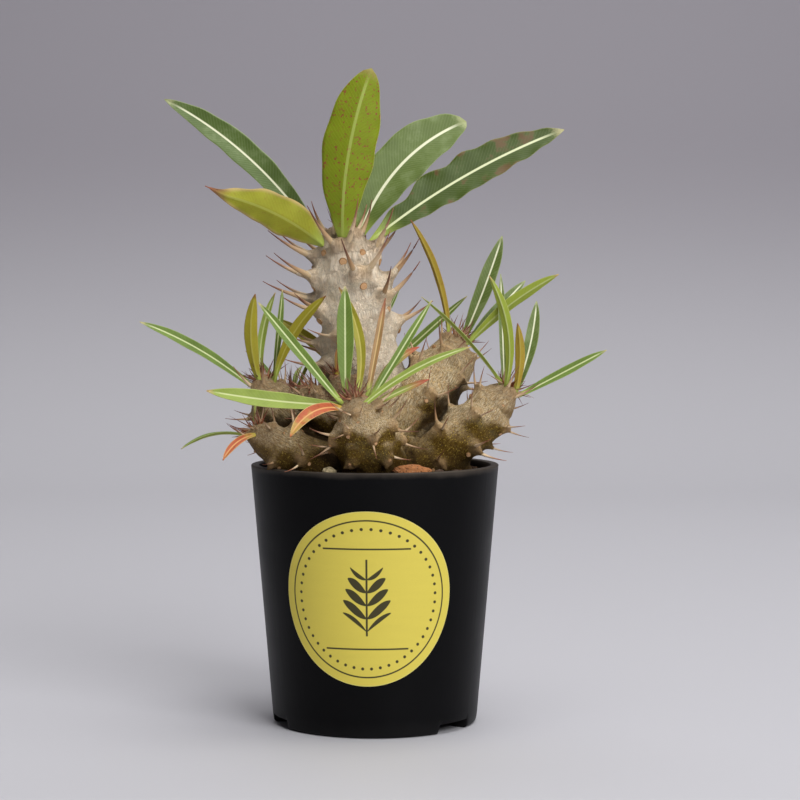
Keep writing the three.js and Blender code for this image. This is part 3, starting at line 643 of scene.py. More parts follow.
# Knobs of the front limb's round head, with the twist of each pair of spines at the end.
FRONT_KNOBS = [
    (2.5, -150, 6, 25, 20), (3, -22, 8, 12, 15), (3.5, -95, 4, 30, 0), (3, 80, 6, 35, 0),
    (9.5, -165, 8, -4, 80), (7, -122, 4, 12, 40), (9.5, -72, 6.5, -5, 65), (9.5, -20, 8, 6, 80),
    (8, 45, 7, 25, 20), (8, 125, 7, 20, 0), (14, -118, 7.5, -35, 25), (15, -52, 7.5, -38, 35),
    (15, -175, 7, -10, 60), (16, 5, 7, -8, 50), (14, 90, 6, 15, 0),
]
LISTED_KNOBS = {"trunk": TRUNK_KNOBS, "front": FRONT_KNOBS}
LIMB_SAMPLES = 97
FORM_STEP = 6  # samples between the rounded forms that a limb is made of
SKIN_STEP = 0.65  # the grid on which the skin is found
SKIN_BOTTOM = 86.5
SKIN_MARGIN = 8  # round the limbs, for knobs and spines
SKIN_NEAR = 0.05
MEETING_STEPS = 60
LIMB_BLEND = 2
KNOB_BLEND = 1.8
KNOB_SPARE = 0.8
MOUND_RADIUS = 3.8
MOUND_DEPTH = 3.3
MOUND_BLEND = 3
HORN_RADIUS = 2.1
HORN_TIP = 0.58
HORN_STEPS = 5
SPINE_BLEND = 1.2
SPINE_SPARE = 3.8  # the skin's growth up a spine
SLIM_GIRTH = 0.75  # of a knob, as a factor on its sizes
STOUT_GIRTH = 1.35
SHORT_SPINE = 3  # the spine length of the slimmest knobs
LONG_SPINE = 15
GOLDEN_TURN = 137.5
SPINE_SEED = 1009
LENGTH_SPREAD = 0.25
TIP_RISE = 65
SIDE_RISE = 22
TIP_KNOBS = 3
KNOB_ROOT = 2.5
KNOB_HEIGHT = 2.6
KNOB_RADIUS = 3.4
KNOB_TIP = 0.4
SPINE_ROOT = 1.5
SPINE_RADIUS = 1
SPINE_SPREAD = 27
SPINE_CURL = 0.17
SPINE_HOOK = 2.4
SPINE_STEPS = 12
SOIL_LEVEL = 89.8
LOWEST_SPINE = SOIL_LEVEL + 3
SWELLING = 0.7  # the skin's large unevenness
SWELLING_SIZE = 5.5
WRINKLES = 0.35  # its small one
WRINKLE_SIZE = 2.3
TRUNK_START = (112, 132)  # heights over which limb bark turns into trunk bark
UNDERSIDE_SHADE_TURNS = (-0.45, 0.75)  # the downward share of the skin's direction, above and on its belly, over which painted shade darkens the bark
CREVICE_REACHES = (2, 4, 7)
TIP_REACH = 20
GRAIN_SHIFT = 50  # of the bark's grain, from limb to limb
KNOB_HALO = 3.2  # reach of the tan skin round a knob's top
SPINE_HALO = 2.2  # and round a spine's foot
HALO_FADE = (0.35, 1.25)  # shares of the reach over which it fades
THORN_SMOOTHNESS = 0.6  # share of the unevenness that knobs and spines are spared


class Limb:
    """The centre line of a limb, with its radius and direction along it."""

    def __init__(self, course):
        course = np.array(course, float)
        shares = np.linspace(0, 1, LIMB_SAMPLES)
        widths = np.column_stack([course[:, 3], np.arange(len(course)), 0 * course[:, 3]])
        self.centre = curve_at(course[:, :3], shares)
        self.radius = curve_at(widths, shares)[:, 0]
        self.axis = unit(np.gradient(self.centre, axis=0))
        steps = np.linalg.norm(np.diff(self.centre, axis=0), axis=1)
        self.run = np.concatenate([[0], np.cumsum(steps)])
        self.length = self.run[-1]

    def at(self, below):
        """The centre, direction and radius at a distance below the tip."""
        along = self.length - below
        centre = np.array([np.interp(along, self.run, c) for c in self.centre.T])
        axis = np.array([np.interp(along, self.run, a) for a in self.axis.T])
        return centre, unit(axis), np.interp(along, self.run, self.radius)

    def place_of(self, points):
        """How far out of the skin points are, how far along, and their turn's vector."""
        nearest = np.full(len(points), FAR)
        along = np.zeros(len(points))
        side = np.zeros((len(points), 3))
        for i in range(0, LIMB_SAMPLES - 1, FORM_STEP):
            start, reach = self.centre[i], self.centre[i + FORM_STEP] - self.centre[i]
            share = np.clip((points - start) @ reach / (reach @ reach), 0, 1)
            offset = points - start - share[:, None] * reach
            radius = mix(self.radius[i], self.radius[i + FORM_STEP], share)
            out = np.linalg.norm(offset, axis=1) - radius
            closer = out < nearest
            nearest[closer] = out[closer]
            along[closer] = mix(self.run[i], self.run[i + FORM_STEP], share)[closer]
            side[closer] = offset[closer]
        across = square_to(unit(self.centre[-1] - self.centre[0]), np.array([1.0, 0, 0]))
        over = np.cross(unit(self.centre[-1] - self.centre[0]), across)
        return nearest, along, np.column_stack([side @ across, side @ over])


def outward_from(axis, turn):
    """The way out of a limb at a turn round it, 0 to the right and 90 behind."""
    across = square_to(axis, np.array([1.0, 0, 0]))
    over = np.cross(axis, across)
    return across * math.cos(math.radians(turn)) + over * math.sin(math.radians(turn))


def knobs_up(name, shape):
    """The knobs of a limb: below the tip, turn, the spines' length and rise."""
    if name in LISTED_KNOBS:
        return LISTED_KNOBS[name]
    knobs = shape["knobs"]
    draw = draws(SPINE_SEED * knobs["turn"])
    found = []
    for i in range(knobs["count"]):
        below = mix(knobs["first"], knobs["last"], i / (knobs["count"] - 1))
        spine = knobs["spine"] * mix(1 - LENGTH_SPREAD, 1 + LENGTH_SPREAD, next(draw))
        rise = mix(TIP_RISE, SIDE_RISE, smooth(i, 0, TIP_KNOBS))
        found.append((below, knobs["turn"] + GOLDEN_TURN * i, spine, rise))
    return found


class Knob:
    """A knob on a limb, with the runs of its two spines."""

    def __init__(self, limb, below, turn, spine, rise, twist=0):
        centre, self.axis, radius = limb.at(below)
        self.outward = outward_from(self.axis, turn)
        across = np.cross(self.axis, self.outward)
        twist = math.radians(twist)
        self.sideways = across * math.cos(twist) + self.axis * math.sin(twist)
        self.girth = mix(SLIM_GIRTH, STOUT_GIRTH, smooth(spine, SHORT_SPINE, LONG_SPINE))
        self.skin = centre + self.outward * radius
        self.base = self.skin - self.outward * KNOB_ROOT
        self.top = self.base + self.lean(rise, 0) * (KNOB_ROOT + KNOB_HEIGHT * self.girth)
        self.spines = [self.spine_run(spine, rise, side) for side in (-1, 1)]

    def lean(self, rise, aside):
        rise, aside = math.radians(rise), math.radians(aside)
        up = self.outward * math.cos(rise) + self.axis * math.sin(rise)
        return up * math.cos(aside) + self.sideways * math.sin(aside)

    def spine_run(self, spine, rise, side):
        """Points from a spine's root to its tip, curling along the limb."""
        direction = self.lean(rise, side * SPINE_SPREAD)
        foot = self.skin - self.outward * SPINE_ROOT
        length = spine + SPINE_ROOT + SPINE_SPARE
        shares = np.linspace(0, 1, SPINE_STEPS + 1)[:, None]
        curl = square_to(direction, self.axis) * SPINE_CURL * length
        return foot + direction * length * shares + curl * shares**SPINE_HOOK


class Clay:
    """A block of distances to a skin, which rounded forms are pressed into."""

    def __init__(self, low, high):
        self.low = np.array(low, float)
        counts = np.ceil((np.array(high) - self.low) / SKIN_STEP).astype(int) + 1
        self.field = np.full(counts, FAR, np.float32)

    def cone(self, start, start_radius, end, end_radius, margin):
        """The window round a rounded cone, and the distances to the cone in it."""
        radius = max(start_radius, end_radius) + margin
        low = np.floor((np.minimum(start, end) - radius - self.low) / SKIN_STEP).astype(int)
        high = np.ceil((np.maximum(start, end) + radius - self.low) / SKIN_STEP).astype(int)
        low = np.clip(low, 0, self.field.shape)
        high = np.clip(high, 0, self.field.shape)
        spans = [self.low[i] + SKIN_STEP * np.arange(low[i], high[i]) - start[i] for i in range(3)]
        x, y, z = np.meshgrid(*spans, indexing="ij", sparse=True)
        reach = end - start
        share = np.clip((x * reach[0] + y * reach[1] + z * reach[2]) / (reach @ reach), 0, 1)
        away = sum((at - share * r) ** 2 for at, r in zip((x, y, z), reach))
        window = tuple(slice(a, b) for a, b in zip(low, high))
        return window, np.sqrt(away) - mix(start_radius, end_radius, share)

    def add(self, window, distance, blend):
        """Joins a form to the skin with a rounded corner between them."""
        field = self.field[window]
        corner = np.maximum(blend - np.abs(field - distance), 0)
        self.field[window] = np.minimum(field, distance) - corner**2 / (4 * blend)

    def add_limb(self, limb):
        own = np.full(self.field.shape, FAR, np.float32)
        for i in range(0, LIMB_SAMPLES - 1, FORM_STEP):
            j = i + FORM_STEP
            window, distance = self.cone(
                limb.centre[i], limb.radius[i], limb.centre[j], limb.radius[j], LIMB_BLEND
            )
            own[window] = np.minimum(own[window], distance)
        everywhere = (slice(None),) * 3
        self.add(everywhere, own, LIMB_BLEND)

    def add_knob(self, knob):
        """A mound with a knob on it, and the thick feet of the knob's spines."""
        mound = knob.skin - knob.outward * MOUND_DEPTH * knob.girth
        wide = MOUND_RADIUS * knob.girth
        foot = KNOB_RADIUS * knob.girth + KNOB_SPARE
        tip = KNOB_TIP * KNOB_RADIUS * knob.girth
        horn = HORN_RADIUS * knob.girth
        slim = HORN_TIP * knob.girth
        corner = SPINE_BLEND * knob.girth
        self.add(*self.cone(mound, wide, knob.base, wide, MOUND_BLEND), MOUND_BLEND)
        self.add(*self.cone(knob.base, foot, knob.top, tip, KNOB_BLEND), KNOB_BLEND)
        for run in knob.spines:
            self.add(*self.cone(run[0], horn, run[HORN_STEPS], slim, corner), corner)

    def close(self):
        """Clears the borders of the block, so that the skin ends inside it."""
        for end in (0, -1):
            for axis in range(3):
                border = [slice(None)] * 3
                border[axis] = end
                self.field[tuple(border)] = 1

    def depth_at(self, point):
        """The distance to the skin at a point."""
        at = (np.asarray(point) - self.low) / SKIN_STEP
        cell = np.clip(at.astype(int), 0, np.array(self.field.shape) - 2)
        share = at - cell
        near = self.field[tuple(slice(c, c + 2) for c in cell)]
        for axis_share in share:
            near = mix(near[0], near[1], axis_share)
        return near

    def meet(self, start, direction):
        """Where a line from outside first meets the skin."""
        point = np.array(start, float)
        for _ in range(MEETING_STEPS):
            depth = self.depth_at(point)
            if depth < SKIN_NEAR:
                break
            point = point + direction * min(depth, 1)
        return point


CORNERS = np.array([(x, y, z) for x in (0, 1) for y in (0, 1) for z in (0, 1)])
EDGES = [
    (a, b) for a in range(8) for b in range(a + 1, 8) if abs(CORNERS[a] - CORNERS[b]).sum() == 1
]


def skin_of(clay):
    """Points and quads of the skin, one point to each cell that the skin crosses."""
    field = clay.field
    inside = field < 0
    size = np.array(field.shape) - 1
    filled = sum(
        inside[tuple(slice(c, c + n) for c, n in zip(corner, size))].astype(np.int8)
        for corner in CORNERS
    )
    cells = np.argwhere((filled > 0) & (filled < 8))
    values = np.stack([field[tuple((cells + corner).T)] for corner in CORNERS], 1)
    total = np.zeros((len(cells), 3))
    crossings = np.zeros((len(cells), 1))
    for a, b in EDGES:
        cut = ((values[:, a] < 0) != (values[:, b] < 0))[:, None]
        gap = values[:, a] - values[:, b]
        share = (values[:, a] / np.where(gap == 0, 1, gap))[:, None]
        total += cut * (CORNERS[a] + share * (CORNERS[b] - CORNERS[a]))
        crossings += cut
    points = clay.low + SKIN_STEP * (cells + total / crossings)
    number = np.full(size, -1, np.int32)
    number[tuple(cells.T)] = np.arange(len(cells))
    faces = []
    for axis in range(3):
        side, other = (axis + 1) % 3, (axis + 2) % 3
        inner = [slice(1, -1)] * 3
        lower, upper = list(inner), list(inner)
        lower[axis], upper[axis] = slice(None, -1), slice(1, None)
        first, second = inside[tuple(lower)], inside[tuple(upper)]
        for crossed, order in ((first & ~second, 1), (~first & second, -1)):
            edge = np.argwhere(crossed)
            edge[:, [side, other]] += 1
            quad = []
            for back_side, back_other in ((1, 1), (0, 1), (0, 0), (1, 0)):
                cell = edge.copy()
                cell[:, side] -= back_side
                cell[:, other] -= back_other
                quad.append(number[tuple(cell.T)])
            faces.append(np.stack(quad[::order], 1))
    return points, np.concatenate(faces).tolist()


def woody_body(limbs, knobs, finish):
    """The grown body of trunk, limbs and knobs, and the clay that it is made of."""
    low = np.min([(limb.centre - limb.radius[:, None]).min(0) for limb in limbs.values()], 0)
    high = np.max([(limb.centre + limb.radius[:, None]).max(0) for limb in limbs.values()], 0)
    low[2] = SKIN_BOTTOM
    clay = Clay(low - SKIN_MARGIN * np.array([1, 1, 0]), high + SKIN_MARGIN)
    for limb in limbs.values():
        clay.add_limb(limb)
    for knob in knobs:
        clay.add_knob(knob)
    clay.close()
    points, faces = skin_of(clay)
    normals = skin_normals(clay, points)
    marks = bark_marks(points, limbs, knobs)
    marks["trunk"] *= smooth(points[:, 2], *TRUNK_START)
    # Painted shade: the crevice mark darkens the bark where it lies deep between forms.
    marks["crevice"] = crevices(clay, points, normals)
    # Painted shade: the belly mark darkens the bark where its skin faces down.
    marks["belly"] = smooth(-normals[:, 2], *UNDERSIDE_SHADE_TURNS)
    relief = SWELLING * ripple(points * [1, 1, 0.8], SWELLING_SIZE, 1)
    relief = relief + WRINKLES * ripple(points, WRINKLE_SIZE, 2)
    relief = relief * (1 - THORN_SMOOTHNESS * marks["thorn"])
    points = points + normals * relief[:, None]
    add_piece("woody_body", points, faces, finish, ["caudex"], marks)
    return clay


def skin_normals(clay, points):
    """Unit vectors out of the skin, from the slope of the distances."""
    at = np.clip(
        np.round((points - clay.low) / SKIN_STEP).astype(int), 1, np.array(clay.field.shape) - 2
    )
    slope = [
        clay.field[tuple((at + step).T)] - clay.field[tuple((at - step).T)]
        for step in np.eye(3, dtype=int)
    ]
    return unit(np.stack(slope, 1) + 1e-9)


def crevices(clay, points, normals):
    """How deep points lie between forms, from 0 to 1, which sets the bark's painted shade: near
    other skin, free space is short.
    """
    shut = np.zeros(len(points))
    for reach in CREVICE_REACHES:
        at = np.round((points + normals * reach - clay.low) / SKIN_STEP).astype(int)
        at = np.clip(at, 0, np.array(clay.field.shape) - 1)
        shut += 1 - np.clip(clay.field[tuple(at.T)] / reach, 0, 1)
    return shut / len(CREVICE_REACHES)


def bark_marks(points, limbs, knobs):
    """What the bark's finish reads: the place on the limb, its tip, and the knobs."""
    nearest = np.full(len(points), FAR)
    grain = np.zeros((len(points), 3))
    tip = np.zeros(len(points))
    trunk = np.zeros(len(points))
    for i, (name, limb) in enumerate(limbs.items()):
        out, along, round_it = limb.place_of(points)
        closer = out < nearest
        nearest[closer] = out[closer]
        grain[closer] = np.column_stack([round_it, along + GRAIN_SHIFT * i])[closer]
        tip[closer] = smooth(along - limb.length, -TIP_REACH, 0)[closer]
        trunk[closer] = name == "trunk"
    thorn = np.zeros(len(points))
    for knob in knobs:
        spots = [(knob.top, KNOB_HALO)] + [(run[2], SPINE_HALO) for run in knob.spines]
        for spot, halo in spots:
            away = np.linalg.norm(points - spot, axis=1) / (halo * knob.girth)
            thorn = np.maximum(thorn, 1 - smooth(away, *HALO_FADE))
    return {"grain": grain, "tip": tip, "trunk": trunk, "thorn": thorn}


def round_rings(run, radii, sides):
    """Rings of points round a run, each square to it."""
    along = unit(np.gradient(run, axis=0))
    side = square_to(along, np.where(abs(along[:, 2:]) > STEEP, [1.0, 0, 0], UP))
    over = np.cross(along, side)
    turns = np.linspace(0, 2 * np.pi, sides, endpoint=False)
    circle = side[:, None] * np.cos(turns)[:, None] + over[:, None] * np.sin(turns)[:, None]
    return run[:, None] + circle * radii[:, None, None]


SPINE_SIDES = 8
SPINE_TAPER = 1.35
SPINE_POINT = 0.07  # its radius, as a share of the root's
SPINE_WANDER = 0.25
SPINE_PICKS = 5


def add_spine(heap, run, radius, point, taper, sides, pick):
    """A spine from root to tip, with its share of the way and a shade of its own."""
    shares = np.linspace(0, 1, len(run))
    radii = radius * mix(point, 1, (1 - shares) ** taper)
    points, faces = loft(round_rings(run, radii, sides))
    heap.add(points, faces, share=np.repeat(shares, sides), shade=pick.random())


def spines_piece(knobs, finish):
    """The paired spines, but for those that would end in the soil."""
    heap = Heap()
    pick = np.random.default_rng(SPINE_PICKS)
    shares = np.linspace(0, 1, SPINE_STEPS + 1)[:, None]
    for knob in knobs:
        for run in knob.spines:
            if run[-1][2] < LOWEST_SPINE:
                continue
            run = run + SPINE_WANDER * pick.normal(size=3) * shares**2 * knob.girth
            radius = SPINE_RADIUS * knob.girth**2
            add_spine(heap, run, radius, SPINE_POINT, SPINE_TAPER, SPINE_SIDES, pick)
    heap.piece("paired_spines", finish, "bark")


TUFT_SIDES = 5
TUFT_STEPS = 4
TUFT_LEAN = (0.1, 1.7)  # tangents of the angles to the limb
TUFT_REACH = 7  # from a tip's middle, further than its skin
TUFT_ROOT = 0.6
TUFT_STRAY = 0.35
TUFT_LENGTHS = (4, 9)
TUFT_RADII = (0.32, 0.6)
TUFT_BEND = 0.15
TUFT_POINT = 0.08
TUFT_TAPER = 1.2
TUFT_PICKS = 8


def tip_tufts_piece(limbs, clay, finish):
    """The short spines that crowd each growing tip."""
    heap = Heap()
    pick = np.random.default_rng(TUFT_PICKS)
    shares = np.linspace(0, 1, TUFT_STEPS + 1)[:, None]
    for name, shape in LIMBS.items():
        tip, axis = limbs[name].centre[-1], limbs[name].axis[-1]
        for _ in range(shape["tuft"]):
            outward = outward_from(axis, pick.uniform(0, 360))
            direction = unit(axis + outward * pick.uniform(*TUFT_LEAN))
            foot = clay.meet(tip + TUFT_REACH * direction, -direction) - TUFT_ROOT * direction
            lean = unit(direction + TUFT_STRAY * pick.normal(size=3))
            length = pick.uniform(*TUFT_LENGTHS)
            bend = TUFT_BEND * length * pick.normal(size=3)
            run = foot + lean * length * shares + bend * shares**2
            radius = pick.uniform(*TUFT_RADII)
            add_spine(heap, run, radius, TUFT_POINT, TUFT_TAPER, TUFT_SIDES, pick)
    heap.piece("tip_tufts", finish, "bark")


SCAR_SIDES = 20
SCAR_RADIUS = 1.25
SMALLEST_SCAR = 0.5  # as a share of the radius, on slim knobs
SCAR_GIRTHS = (0.95, 1.35)  # of the knobs with the smallest and the full size
SCAR_DROP = 1.9  # below the knob's middle
SCAR_START = 7  # out from the limb, clear of its skin
SCAR_STRAY = 5  # at most, from the knob
SCAR_TILT = 0.45  # towards the limb's root
# The scar's section from its foot in the skin over its rim to its middle, each point as a
# share of the scar's radius and a height.
SCAR_SECTION = [(1.18, -0.9), (1.14, -0.1), (1.04, 0.16), (0.9, 0.1), (0.6, 0.16), (0.2, 0.2)]


def scars_piece(knobs, clay, finish):
    """The pale round scar under each pair of spines, where a leaf has fallen."""
    heap = Heap()
    turns = np.linspace(0, 2 * np.pi, SCAR_SIDES, endpoint=False)
    for knob in knobs:
        lower = knob.skin - knob.axis * SCAR_DROP * knob.girth
        spot = clay.meet(lower + knob.outward * SCAR_START, -knob.outward)
        if spot[2] < LOWEST_SPINE or np.linalg.norm(spot - knob.skin) > SCAR_STRAY:
            continue
        facing = unit(knob.outward - SCAR_TILT * knob.axis)
        side = square_to(facing, knob.sideways)
        over = np.cross(facing, side)
        size = SCAR_RADIUS * mix(SMALLEST_SCAR, 1, smooth(knob.girth, *SCAR_GIRTHS))
        circle = side * np.cos(turns)[:, None] + over * np.sin(turns)[:, None]
        rings = [spot + size * share * circle + facing * lift for share, lift in SCAR_SECTION]
        shares = np.repeat([share for share, _ in SCAR_SECTION], SCAR_SIDES)
        heap.add(*loft(np.stack(rings)), share=shares)
    heap.piece("leaf_scars", finish, "bark")


def bark_finish():
    """Dry skin, cream above and olive-brown below, with pale threads and dots, and painted shade
    on its belly and in its crevices.
    """
    bark = Finish("bark", specular_ior_level=0.15)
    place = bark.place()
    grain = bark.mark_place("grain")
    height = bark.part(place, "Z")
    trunk = bark.mark("trunk")
    thorn = bark.mark("thorn")
    tip = bark.mark("tip")
    belly = bark.mark("belly")
    crevice = bark.mark("crevice")
    patches = bark.cloud(place, 9, 3)
    mottle = bark.cloud(place, 2.2, 4, 0.6)
    fine = bark.cloud(place, 0.6, 4, 0.65)
    contour = bark.cloud(bark.stretch(grain, (1, 1, 0.4)), 0.85, 3, 0.6)
    threads = 1 - bark.ease(abs(contour - 0.5), 0.005, 0.06)
    fine_contour = bark.cloud(bark.stretch(grain, (1, 1, 0.5)), 0.6, 2, 0.6)
    fine_threads = 1 - bark.ease(abs(fine_contour - 0.5), 0.005, 0.07)
    dots = 1 - bark.ease(bark.cells(place, 0.8), 0.12, 0.36)
    # The bark's age by height, trunk and tip, with painted shade: the downward-facing belly is
    # pushed toward the dark olive-brown.
    age_and_underside_shade = bark.ease(height + 14 * patches + 20 * trunk + 14 * tip - 26 * belly, 102, 121)
    old = bark.blend(mottle, tone(56, 36, 2), tone(118, 90, 24))
    cream = bark.blend(mottle, tone(250, 220, 184), tone(255, 248, 230))
    tan = bark.blend(mottle, tone(166, 134, 86), tone(228, 200, 154))
    young = bark.blend(trunk, tan, cream)
    skin = bark.blend(age_and_underside_shade, old, young)
    greyed = bark.blend(bark.ease(patches, 0.54, 0.7) * 0.28, skin, tone(150, 146, 108))
    thread_share = (0.45 + 0.6 * mottle) * (1 - 0.5 * trunk)
    woven = bark.blend(fine_threads * thread_share * 0.8, greyed, tone(78, 54, 22))
    thread = bark.blend(age_and_underside_shade, tone(158, 128, 54), tone(244, 226, 190))
    threaded = bark.blend(threads * thread_share * (0.5 + 0.5 * age_and_underside_shade), woven, thread)
    dotted = bark.blend(dots * (1 - 0.7 * age_and_underside_shade) * (1 - trunk), threaded, tone(184, 156, 68))
    knobbed = bark.blend(thorn * (0.35 + 0.4 * mottle), dotted, tone(216, 176, 128))
    tip_share = bark.ease(tip + 0.4 * patches, 0.6, 1.2) * 0.5
    tipped = bark.blend(tip_share, knobbed, tone(140, 112, 82))
    specks = bark.ease(fine, 0.62, 0.72)
    specked = bark.blend(specks * (0.15 + 0.3 * trunk), tipped, tone(232, 224, 206))
    stain = 1 - bark.ease(height - 10 * patches, 84, 100)
    stained = bark.blend(stain * 0.8, specked, tone(56, 38, 16))
    # Painted shade in the crevices between forms, weaker on the trunk.
    crevice_shade = bark.ease(crevice + 0.25 * mottle, 0.25, 0.75)
    bark.set("Base Color", bark.blend(crevice_shade * (0.85 - 0.4 * trunk), stained, tone(44, 26, 6)))
    bark.set("Roughness", 0.6 + 0.2 * fine)
    thread_height = 0.6 * threads - 0.5 * fine_threads
    bark.relief(thread_height + 0.6 * mottle + 0.5 * fine + 0.4 * dots, 0.42, 0.85)
    return bark


def spine_finish():
    """Horn-like spines, cream and tan with thin red-brown tips."""
    horn = Finish("spine_horn", specular_ior_level=0.45)
    share = horn.mark("share")
    shade = horn.mark("shade")
    flecks = horn.cloud(horn.place(), 1.1, 3)
    root = horn.blend(flecks, tone(186, 162, 118), tone(228, 208, 172))
    middle = horn.blend(shade, tone(226, 200, 164), tone(176, 138, 98))
    point = horn.blend(shade, tone(158, 98, 72), tone(98, 58, 44))
    lower = horn.blend(horn.ease(share, 0.15, 0.55), root, middle)
    horn.set("Base Color", horn.blend(horn.ease(share + 0.1 * flecks, 0.5, 0.9), lower, point))
    horn.set("Roughness", 0.45 + 0.2 * flecks)
    horn.relief(flecks, 0.1, 0.4)
    return horn


def tuft_finish():
    """Small dark spines at the tips, from red-brown to grey."""
    horn = Finish("tuft_horn", specular_ior_level=0.4)
    share = horn.mark("share")
    shade = horn.mark("shade")
    flecks = horn.cloud(horn.place(), 0.6, 2)
    root = horn.blend(shade, tone(156, 92, 60), tone(196, 166, 130))
    point = horn.blend(horn.ease(shade, 0.45, 0.95), tone(104, 44, 32), tone(150, 118, 96))
    horn.set("Base Color", horn.blend(horn.ease(share + 0.2 * flecks, 0.2, 0.8), root, point))
    horn.set("Roughness", 0.5 + 0.2 * flecks)
    return horn


def scar_finish():
    """A pale corky disc with a darker rim."""
    cork = Finish("scar_cork", specular_ior_level=0.25)
    share = cork.mark("share")
    flecks = cork.cloud(cork.place(), 0.5, 3)
    pale = cork.blend(flecks, tone(196, 144, 98), tone(226, 188, 144))
    cork.set("Base Color", cork.blend(cork.ease(share, 0.85, 1.1), pale, tone(160, 122, 82)))
    cork.set("Roughness", 0.7 + 0.15 * flecks)
    cork.relief(flecks, 0.15, 0.5)
    return cork


# Leaves

TO_VIEWER = (0, -1, 0.5)
FROM_VIEWER = (0, 1, 0.3)


# A leaf has the compass angle, rise and distance from its crown's middle to its tip, and the
# blade's width. Its upper side faces the viewer, another way, or as the crown does (None). It
# may have shares of its length by which it arches up, sways to its left and curls at the tip,
# the compass angle at which its foot stands on the crown, how far down its foot is, where
# along it the blade is widest, how bluntly it tapers from there, and the waves and the ruffle
# of its edges.
def leaf_at(angle, rise, reach, width, look="green", upper=TO_VIEWER, **more):
    return dict(angle=angle, rise=rise, reach=reach, width=width, look=look, upper=upper, **more)


